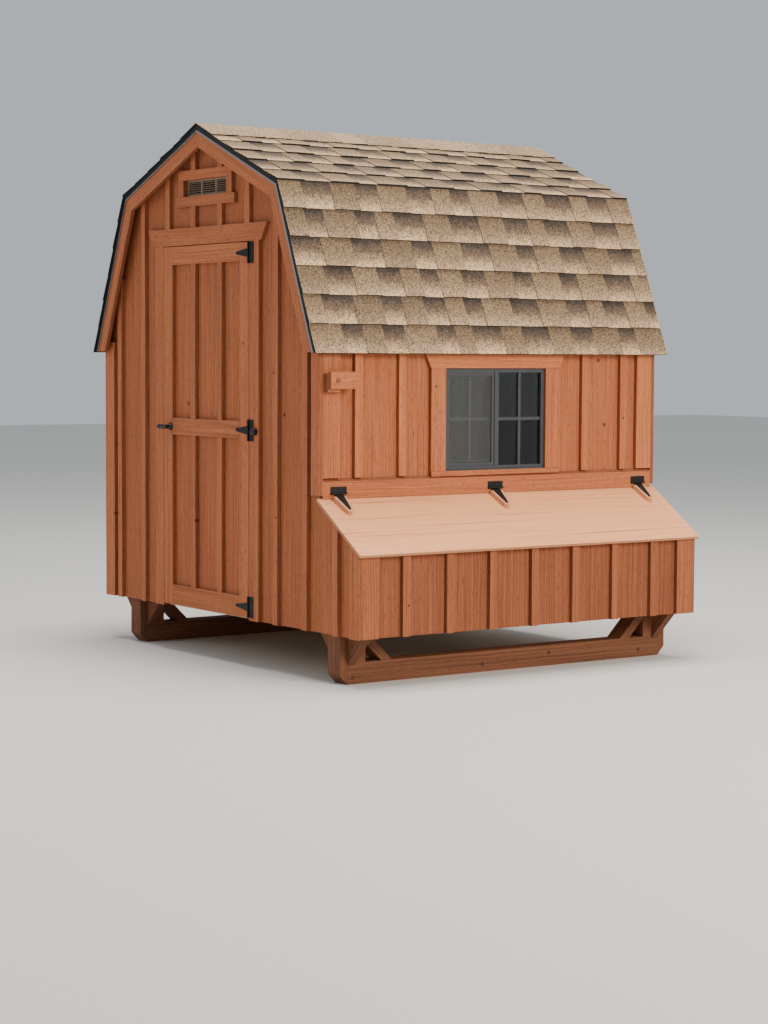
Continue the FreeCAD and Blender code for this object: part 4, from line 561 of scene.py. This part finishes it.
grit = add(tree, "ShaderNodeMapRange", {"Value": speckle.outputs["Fac"], "From Min": 0.32, "From Max": 0.68,
                                        "To Min": 0.25, "To Max": 1.75})
tone_value = add(tree, "ShaderNodeMapRange", {"Value": tone, "To Min": 0.82, "To Max": 1.14})
brightness = add(tree, "ShaderNodeMath", {0: grit.outputs["Result"], 1: tone_value.outputs["Result"]},
                 operation="MULTIPLY")
stone = add(tree, "ShaderNodeHueSaturation", {"Color": blend.outputs["Result"],
                                              "Value": brightness.outputs["Value"]})
butt = add(tree, "ShaderNodeAttribute", attribute_name="butt").outputs["Fac"]
skin = add(tree, "ShaderNodeMix", {"Factor": butt, "A": stone.outputs["Color"], "B": linear("#1F1A17")},
           data_type="RGBA")
pitted = add(tree, "ShaderNodeBump", {"Height": speckle.outputs["Fac"], "Strength": 0.7,
                                      "Distance": 0.8 * MM})
surface = add(tree, "ShaderNodeBsdfPrincipled", {"Base Color": skin.outputs["Result"], "Roughness": 0.93,
                                                 "Normal": pitted.outputs["Normal"], "IOR": 1.5})
add(tree, "ShaderNodeOutputMaterial", {"Surface": surface.outputs["BSDF"]})
stand_for(shingles, "roof_shingles", granules_material)
stand_for(ridge_caps, "ridge_cap", granules_material)
print("granules drawn at", GRANULE / MM, "mm")

# %% [markdown]
# ## Metal and plastic
# The hinges and roof edging are steel with a black powder coat, which bakes into a satin skin with a
# faint orange peel, and the hinge screws match them.  The handle is cast zinc, painted black.  The
# window is aluminium in a dark grey coat.  The vent grilles are bare aluminium dulled by weather.
# The bolts of the turn buttons were stained over along with the wood.  All carry the same small
# ripple, but differ in colour and gloss.

# %% Coated metals
def coated(name, colour, rough, peel_mm=2.0, peel_depth_mm=0.03, dust="#6A625A", dust_amount=0.08,
           metallic=0.0, shine=0.5):
    """A coat on metal or plastic, with its ripple and a little settled dust."""
    material, tree = new_material(name)
    place = add(tree, "ShaderNodeTexCoord").outputs["Object"]
    peel = add(tree, "ShaderNodeTexNoise", {"Vector": place, "Scale": 1 / (peel_mm * MM), "Detail": 1})
    cloud = add(tree, "ShaderNodeTexNoise", {"Vector": place, "Scale": 1 / (30 * MM), "Detail": 3})
    dusty = add(tree, "ShaderNodeMapRange", {"Value": cloud.outputs["Fac"], "From Min": 0.4,
                                             "From Max": 0.75, "To Min": 0.0, "To Max": dust_amount})
    tint = add(tree, "ShaderNodeMix", {"Factor": dusty.outputs["Result"], "A": linear(colour),
                                       "B": linear(dust)}, data_type="RGBA")
    gloss = add(tree, "ShaderNodeMapRange", {"Value": cloud.outputs["Fac"], "To Min": rough - 0.07,
                                             "To Max": rough + 0.07})
    ripple = add(tree, "ShaderNodeBump", {"Height": peel.outputs["Fac"], "Strength": 0.5,
                                          "Distance": peel_depth_mm * MM})
    surface = add(tree, "ShaderNodeBsdfPrincipled", {"Base Color": tint.outputs["Result"],
                                                     "Roughness": gloss.outputs["Result"],
                                                     "Normal": ripple.outputs["Normal"],
                                                     "Specular IOR Level": shine,
                                                     "Metallic": metallic})
    add(tree, "ShaderNodeOutputMaterial", {"Surface": surface.outputs["BSDF"]})
    return material


METALS = {
    "black_metal": coated("steel_black_powder_coat", "#0C0C0D", 0.45, dust_amount=0.03, shine=0.3),
    "charcoal_metal": coated("aluminium_charcoal_coat", "#33383B", 0.5, dust_amount=0.12),
    "vent_metal": coated("weathered_aluminium", "#A58C74", 0.55, dust="#5A4638", dust_amount=0.3,
                         metallic=0.3),
    "black_plastic": coated("moulded_black_plastic", "#141416", 0.35, peel_mm=4.0),
    "cast_zinc": coated("cast_zinc_black_paint", "#0C0C0D", 0.32, peel_mm=3.0, dust_amount=0.03,
                        shine=0.4),
    # light grey on the drip edge's lip is a painted highlight of the sky
    "worn_lip": coated("steel_lip_painted_sky_highlight", "#8C8282", 0.4, dust_amount=0.1),
    "screen_yarn": coated("vinyl_coated_glass_yarn", "#6C7072", 0.6, dust_amount=0.15),
    "zinc_steel": coated("zinc_steel_stained_over", "#7E4A2E", 0.7, dust="#8C8A86", dust_amount=0.25),
}
print("coats:", ", ".join(METALS))

# %% [markdown]
# ## Roof edging
# The drip edge is folded sheet steel.  Its foot is kicked outwards so that water falls clear of the boards, and
# that lip is coloured light grey: a painted highlight of the sky along its edge.  The CAD has the lip as a square
# strip, so here its upper edge is pulled in to make the slope.

# %% Kick out the lips
HEM_REACH = 4 * MM      # how far the lip stands out from the sheet
HEM_HEIGHT = 7 * MM     # how tall it is, square to the slope
LIP_EDGE = 0.4 * MM     # how thick the lip stays at its upper edge
FACE_SLOPES = [Slope(top, foot, side) for side in (-1, 1) for top, foot in ((knee, eave), (ridge, knee))]


def above(slope, corner):
    """How far a corner lies outside a slope's face."""
    return (Vector((slope.side * (corner[0] - MIDDLE), corner[2])) - slope.upper).dot(slope.out)


def kicked(corners):
    """A lip's corners, with its upper outer edge pulled in to the sheet."""
    outer = max((corner[1] for corner in corners), key=abs)
    heights = min(([above(slope, corner) for corner in corners] for slope in FACE_SLOPES),
                  key=lambda found: abs(max(found) - min(found) - HEM_HEIGHT))
    middle_height = (max(heights) + min(heights)) / 2
    pull = math.copysign(HEM_REACH - LIP_EDGE, outer)
    return [(x, y - pull, z) if abs(y - outer) < 1e-5 and height > middle_height else (x, y, z)
            for (x, y, z), height in zip(corners, heights)]


points, faces, is_lip = [], [], []
for corners, loops in solids("drip_edges"):
    depth = max(corner[1] for corner in corners) - min(corner[1] for corner in corners)
    lip = abs(depth - HEM_REACH) < 0.2 * MM
    start = len(points)
    points += kicked(corners) if lip else corners
    faces += [[start + i for i in loop] for loop in loops]
    is_lip += [1 if lip else 0] * len(loops)
edging_mesh = bpy.data.meshes.new("folded_drip_edge")
edging_mesh.from_pydata(points, [], faces)
stand_for(show("folded_drip_edge", edging_mesh), "drip_edges", METALS["black_metal"])
# the lips take the light grey coat, a painted sky highlight
edging_mesh.materials.append(METALS["worn_lip"])
edging_mesh.polygons.foreach_set("material_index", is_lip)
print("lips:", sum(is_lip) // 6)

# %% [markdown]
# ## Glass
# Window glass is soda-lime float glass, clear and faintly green, with an IOR of 1.52.  It shows the
# dark inside of the coop and a pale reflection of the sky.

# %% Float glass
glass, tree = new_material("soda_lime_float_glass")
surface = add(tree, "ShaderNodeBsdfPrincipled", {"Base Color": linear("#DDE6E3"), "Roughness": 0.03,
                                                 "IOR": 1.52, "Transmission Weight": 1.0})
add(tree, "ShaderNodeOutputMaterial", {"Surface": surface.outputs["BSDF"]})


def paint(node, material):
    """Give a CAD part that keeps its mesh a finish."""
    mesh = frame["nodes"][node].data
    mesh.materials.clear()
    mesh.materials.append(material)


for node, slot in SLOT_OF.items():
    if slot in METALS:
        paint(node, METALS[slot])
    elif slot == "window_glass":
        paint(node, glass)
print("panes:", [node for node, slot in SLOT_OF.items() if slot == "window_glass"])

# %% [markdown]
# ## Insect screen
# The screen is glass-fibre yarn woven with about 1.4 mm between threads.  That is finer than the view
# shows and would flicker, so it is woven at 3 mm here, from real crossing threads, which also lets
# light through as a real screen does.  Its frame has the window's dark coat.

# %% Weave the screen
THREAD = 0.5 * MM       # how wide a thread is
WEAVE = 3.0 * MM        # from one thread to the next
screen_solids = sorted(solids("window_screen"), key=lambda solid: len(solid[0]))
mesh_corners = [Vector(corner) for corner in screen_solids[0][0]]
weave_low = Vector([min(c[i] for c in mesh_corners) for i in range(3)])
weave_high = Vector([max(c[i] for c in mesh_corners) for i in range(3)])
plane_x = (weave_low.x + weave_high.x) / 2
points, faces = [], []


def thread(low, high):
    """A thread as a thin bar between two corners."""
    ring = [(low.x, low.y), (high.x, low.y), (high.x, high.y), (low.x, high.y)]
    slab(points, faces, [(x, y, low.z) for x, y in ring] + [(x, y, high.z) for x, y in ring])


y = weave_low.y + WEAVE
while y < weave_high.y:
    thread(Vector((plane_x, y, weave_low.z)), Vector((plane_x + THREAD, y + THREAD, weave_high.z)))
    y += WEAVE
z = weave_low.z + WEAVE
while z < weave_high.z:
    thread(Vector((plane_x - THREAD, weave_low.y, z)), Vector((plane_x, weave_high.y, z + THREAD)))
    z += WEAVE
frame_corners, frame_faces = screen_solids[-1]
start = len(points)
points += frame_corners
faces += [[start + i for i in loop] for loop in frame_faces]
screen_mesh = bpy.data.meshes.new("woven_screen")
screen_mesh.from_pydata([tuple(p) for p in points], [], faces)
stand_for(show("woven_screen", screen_mesh), "window_screen", METALS["screen_yarn"])
screen_mesh.materials.append(METALS["charcoal_metal"])
screen_mesh.polygons.foreach_set(
    "material_index", [0] * (len(faces) - len(frame_faces)) + [1] * len(frame_faces))
print("screen threads:", start // 8)

# %% [markdown]
# ## Screws
# The hinges are held by pan-head screws.  Their heads are small, but without them a hinge looks like
# a cut-out.  One profile is turned round its axis, with a dished drive recess, and stamped wherever
# a hinge has a hole.  The lid's straps have flush screws instead, because the raised lid folds them
# against the window's casing.

# %% Turn a profile, and stamp screws
def turned(points, faces, profile, place, steps=20):
    """Turn a profile of (radius, height) pairs round the Z axis of a place."""
    start = len(points)
    for radius, height in profile:
        for step in range(steps):
            angle = 2 * math.pi * step / steps
            spot = Vector((radius * math.cos(angle), radius * math.sin(angle), height))
            points.append(tuple(place @ spot))
    for ring in range(len(profile) - 1):
        for step in range(steps):
            a = start + ring * steps + step
            b = start + ring * steps + (step + 1) % steps
            faces.append([a, b, b + steps, a + steps])
    faces.append([start + step for step in reversed(range(steps))])
    faces.append([start + (len(profile) - 1) * steps + step for step in range(steps)])


SCREW = [(4.2 * MM, -0.5 * MM), (4.2 * MM, 0.5 * MM), (3.8 * MM, 1.3 * MM), (2.6 * MM, 1.9 * MM),
         (1.4 * MM, 2.0 * MM), (1.1 * MM, 1.2 * MM), (0.3 * MM, 1.0 * MM)]
FLAT_SCREW = [(4.2 * MM, -0.5 * MM), (4.2 * MM, 0.1 * MM), (3.9 * MM, 0.4 * MM), (1.4 * MM, 0.5 * MM),
              (1.1 * MM, -0.1 * MM), (0.3 * MM, -0.3 * MM)]


def screws(name, body, spots, profile=SCREW, slot="black_metal"):
    """Screws at (place, outward direction) pairs, on one body."""
    points, faces = [], []
    for spot, outward in spots:
        turn = Vector((0, 0, 1)).rotation_difference(Vector(outward)).to_matrix().to_4x4()
        turned(points, faces, profile, Matrix.Translation(spot) @ turn)
    mesh = bpy.data.meshes.new(name)
    mesh.from_pydata(points, [], faces)
    mesh.shade_smooth()
    mesh.materials.append(METALS[slot])
    obj = show(name, mesh)
    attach(obj, body)


JOINT = {joint["name"]: joint for joint in frame["joints"]}
LEAF = 2.0 * MM         # from the pin's axis out to a leaf's outer face
X, Y, Z = Vector((1, 0, 0)), Vector((0, 1, 0)), Vector((0, 0, 1))
# screw places on a leaf in mm, from the hinge's pin: (along the leaf, across it)
PLATE_SPOTS = [(14, -36), (29, -26), (29, 26), (14, 36)]
STRAP_SPOTS = [(20, -10), (20, 10), (52, 0), (88, 0)]
LID_PLATE_SPOTS = [(17, -29), (17, 0), (17, 29)]
LID_STRAP_SPOTS = [(24, -10), (24, 10), (54, 0), (86, 0)]
HEN_PLATE_SPOTS = [(20, -25), (20, 25)]
HEN_STRAP_SPOTS = [(20, 0), (46, 0), (74, 0)]


def middles(node, axis):
    """Where a part's hinges sit along an axis: the middle of each solid."""
    return sorted((min(c[axis] for c in corners) + max(c[axis] for c in corners)) / 2
                  for corners, _ in solids(node))


def leaf_screws(joint, plates, axis, leaf_way, across, outward, spots):
    """Screw places and directions on one leaf of every hinge of a joint."""
    found = []
    for middle in middles(plates, axis):
        pin = Vector(JOINT[joint]["pos_m"])
        pin[axis] = middle
        base = pin - outward * LEAF
        found += [(base + leaf_way * (a * MM) + across * (b * MM), outward) for a, b in spots]
    return found


LID_SLOPE = math.radians(33.8)      # how far the closed lid slopes below level
lid_way = Vector((math.cos(LID_SLOPE), 0, -math.sin(LID_SLOPE)))
lid_up = Vector((math.sin(LID_SLOPE), 0, math.cos(LID_SLOPE)))
# each joint, its plates, and the axis that its pins lie along
door = ("door_hinge", "door_hinge_plates", 2)
lid = ("lid_hinge", "lid_hinge_plates", 1)
hen = ("hen_door_hinge", "hen_hinge_plates", 1)
screws("door_plate_screws", "coop", leaf_screws(*door, X, Z, -Y, PLATE_SPOTS))
screws("door_strap_screws", "door", leaf_screws(*door, -X, Z, -Y, STRAP_SPOTS))
screws("lid_plate_screws", "coop", leaf_screws(*lid, Z, Y, X, LID_PLATE_SPOTS))
screws("lid_strap_screws", "nest_box_lid", leaf_screws(*lid, lid_way, Y, lid_up, LID_STRAP_SPOTS),
       FLAT_SCREW)
screws("hen_plate_screws", "coop", leaf_screws(*hen, -Z, Y, -X, HEN_PLATE_SPOTS))
screws("hen_strap_screws", "hen_door", leaf_screws(*hen, Z, Y, -X, HEN_STRAP_SPOTS))

# %% [markdown]
# ## The cast handle
# The door's T-handle is die-cast zinc under black paint.  Each arm swells to a rounded grip and thins
# towards the hub, a shape that comes from turning one profile.  The hub's neck, the spindle behind it
# and the latch bar inside the door complete the piece, so it stands for the whole CAD part.

# %% Turn the handle
handle_low, handle_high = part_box("t_handle")
handle_pin = Vector(JOINT["latch_spindle"]["pos_m"])
GRIP = 11 * MM                                  # the arm's radius at its thickest
ARM = (handle_high.x - handle_low.x) / 2        # an arm's length from the spindle
ARM_PROFILE = [(0.3 * MM, -ARM), (5.5 * MM, -ARM + 1.0 * MM), (9.2 * MM, -ARM + 4.0 * MM),
               (10.8 * MM, -ARM + 9 * MM), (GRIP, -ARM + 14 * MM), (10.2 * MM, -ARM + 20 * MM),
               (8.2 * MM, -ARM + 27 * MM), (8.0 * MM, -10 * MM), (10.0 * MM, -5 * MM), (10.6 * MM, 0)]
arm_rings = ARM_PROFILE + [(radius, -height) for radius, height in reversed(ARM_PROFILE[:-1])]
bar_middle = Vector((handle_pin.x, handle_low.y + GRIP, handle_pin.z))
rose_low, rose_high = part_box("handle_rose")
LATCH_BAR_WIDTH, LATCH_BAR_THICKNESS = 22 * MM, 4 * MM
SPINDLE_RADIUS = 6 * MM
points, faces = [], []
turned(points, faces, arm_rings, Matrix.Translation(bar_middle) @ Matrix.Rotation(math.pi / 2, 4, "Y"), 28)
turned(points, faces, [(8.6 * MM, 4 * MM), (7.4 * MM, 12 * MM), (SPINDLE_RADIUS, 18 * MM),
                       (SPINDLE_RADIUS, handle_high.y - bar_middle.y)],
       Matrix.Translation(bar_middle) @ Matrix.Rotation(-math.pi / 2, 4, "X"), 24)
bar_x = (handle_pin.x - LATCH_BAR_WIDTH / 2, handle_pin.x + LATCH_BAR_WIDTH / 2)
bar_y = (handle_high.y - LATCH_BAR_THICKNESS, handle_high.y)
bar_ring = [(bar_x[0], bar_y[0]), (bar_x[1], bar_y[0]), (bar_x[1], bar_y[1]), (bar_x[0], bar_y[1])]
slab(points, faces, [(x, y, handle_pin.z - LATCH_BAR_WIDTH / 2) for x, y in bar_ring]
     + [(x, y, handle_high.z) for x, y in bar_ring])
handle_mesh = bpy.data.meshes.new("cast_t_handle")
handle_mesh.from_pydata(points, [], faces)
handle_mesh.shade_smooth()
handle_mesh.set_sharp_from_angle(angle=math.radians(40))
stand_for(show("cast_t_handle", handle_mesh), "t_handle", METALS["cast_zinc"])
print("handle arm:", round(ARM / MM, 1), "mm")

# %% Turn the rose
ROSE = (rose_high.x - rose_low.x) / 2
depth = rose_high.y - rose_low.y
BORE = SPINDLE_RADIUS + 0.2 * MM
rose_profile = [(BORE, 0.0), (ROSE, 0.0), (ROSE, 3.0 * MM), (ROSE - 1.2 * MM, 4.6 * MM),
                (13.5 * MM, 5.4 * MM), (12.0 * MM, 7.0 * MM), (11.6 * MM, depth - 2.0 * MM),
                (10.4 * MM, depth - 0.4 * MM), (9.0 * MM, depth), (BORE, depth), (BORE, 0.0)]
points, faces = [], []
turned(points, faces, rose_profile, Matrix.Translation((handle_pin.x, rose_high.y, handle_pin.z))
       @ Matrix.Rotation(math.pi / 2, 4, "X"), 32)
rose_mesh = bpy.data.meshes.new("cast_rose")
rose_mesh.from_pydata(points, [], faces[:-2])      # no end faces: the profile closes on its own bore
rose_mesh.shade_smooth()
rose_mesh.set_sharp_from_angle(angle=math.radians(40))
stand_for(show("cast_rose", rose_mesh), "handle_rose", METALS["cast_zinc"])
print("rose:", round(2 * ROSE / MM, 1), "mm across,", round(depth / MM, 1), "mm deep")

# %% [markdown]
# ## Floor, light and camera
# The coop stands on a plain pale floor.  Daylight under a bright sky is soft and comes from above,
# stronger on the window side, so one broad lamp hangs overhead, a second stands on the window side, a
# weak one lifts the gable, and a pale surround fills the rest.  The camera stands nine metres off at
# chest height with a long lens, which keeps the walls' lines nearly parallel.

# %% Floor
floor_mesh = bpy.data.meshes.new("studio_floor")
REACH = 30.0    # metres from the middle to each side
floor_mesh.from_pydata([(-REACH, -REACH, 0), (REACH, -REACH, 0), (REACH, REACH, 0), (-REACH, REACH, 0)], [],
                       [(0, 1, 2, 3)])
pale, tree = new_material("pale_studio_floor")
surface = add(tree, "ShaderNodeBsdfPrincipled", {"Base Color": linear("#D9D7D3"), "Roughness": 0.9})
add(tree, "ShaderNodeOutputMaterial", {"Surface": surface.outputs["BSDF"]})
floor_mesh.materials.append(pale)
show("studio_floor", floor_mesh)
print("floor laid", 2 * REACH, "m across")

# %% Light
world = bpy.data.worlds.new("studio_surround")
bpy.context.scene.world = world
world.use_nodes = True
world.node_tree.nodes["Background"].inputs["Color"].default_value = linear("#E6ECF2")
world.node_tree.nodes["Background"].inputs["Strength"].default_value = 0.65


def softbox(name, spot, aim, size, watts, colour):
    """A square lamp at a spot, turned to a point."""
    lamp = bpy.data.lights.new(name, "AREA")
    lamp.size = size
    lamp.energy = watts
    lamp.color = linear(colour)[:3]
    obj = bpy.data.objects.new(name, lamp)
    obj.location = spot
    obj.rotation_euler = (Vector(aim) - Vector(spot)).to_track_quat("-Z", "Y").to_euler()
    bpy.context.scene.collection.objects.link(obj)


softbox("sky_lamp", (0.2, 0, 9.5), (0.2, 0, 1.0), 5.0, 1000, "#FFFAF2")
softbox("window_side_lamp", (9.0, 1.0, 4.4), (0.4, 0, 1.0), 3.0, 700, "#FFF4E6")
softbox("gable_lamp", (-2.5, -8.0, 4.5), (-0.2, -0.9, 1.1), 3.0, 60, "#EEF3FF")

# %% Camera
TARGET = Vector((1.2436, -0.911, 0.7332))
STATION = Vector((8.490, -6.042, 1.3515))
ROLL = math.radians(0.28)       # held a little off level
lens = bpy.data.cameras.new("long_lens")
lens.sensor_fit = "VERTICAL"
lens.sensor_height = 36.0
lens.lens = 79.55
camera = bpy.data.objects.new("long_lens", lens)
camera.matrix_world = (Matrix.Translation(STATION)
                       @ (TARGET - STATION).to_track_quat("-Z", "Y").to_matrix().to_4x4()
                       @ Matrix.Rotation(ROLL, 4, "Z"))
bpy.context.scene.collection.objects.link(camera)
bpy.context.scene.camera = camera
print("camera stands", round((TARGET - STATION).length, 2), "m from its aim")
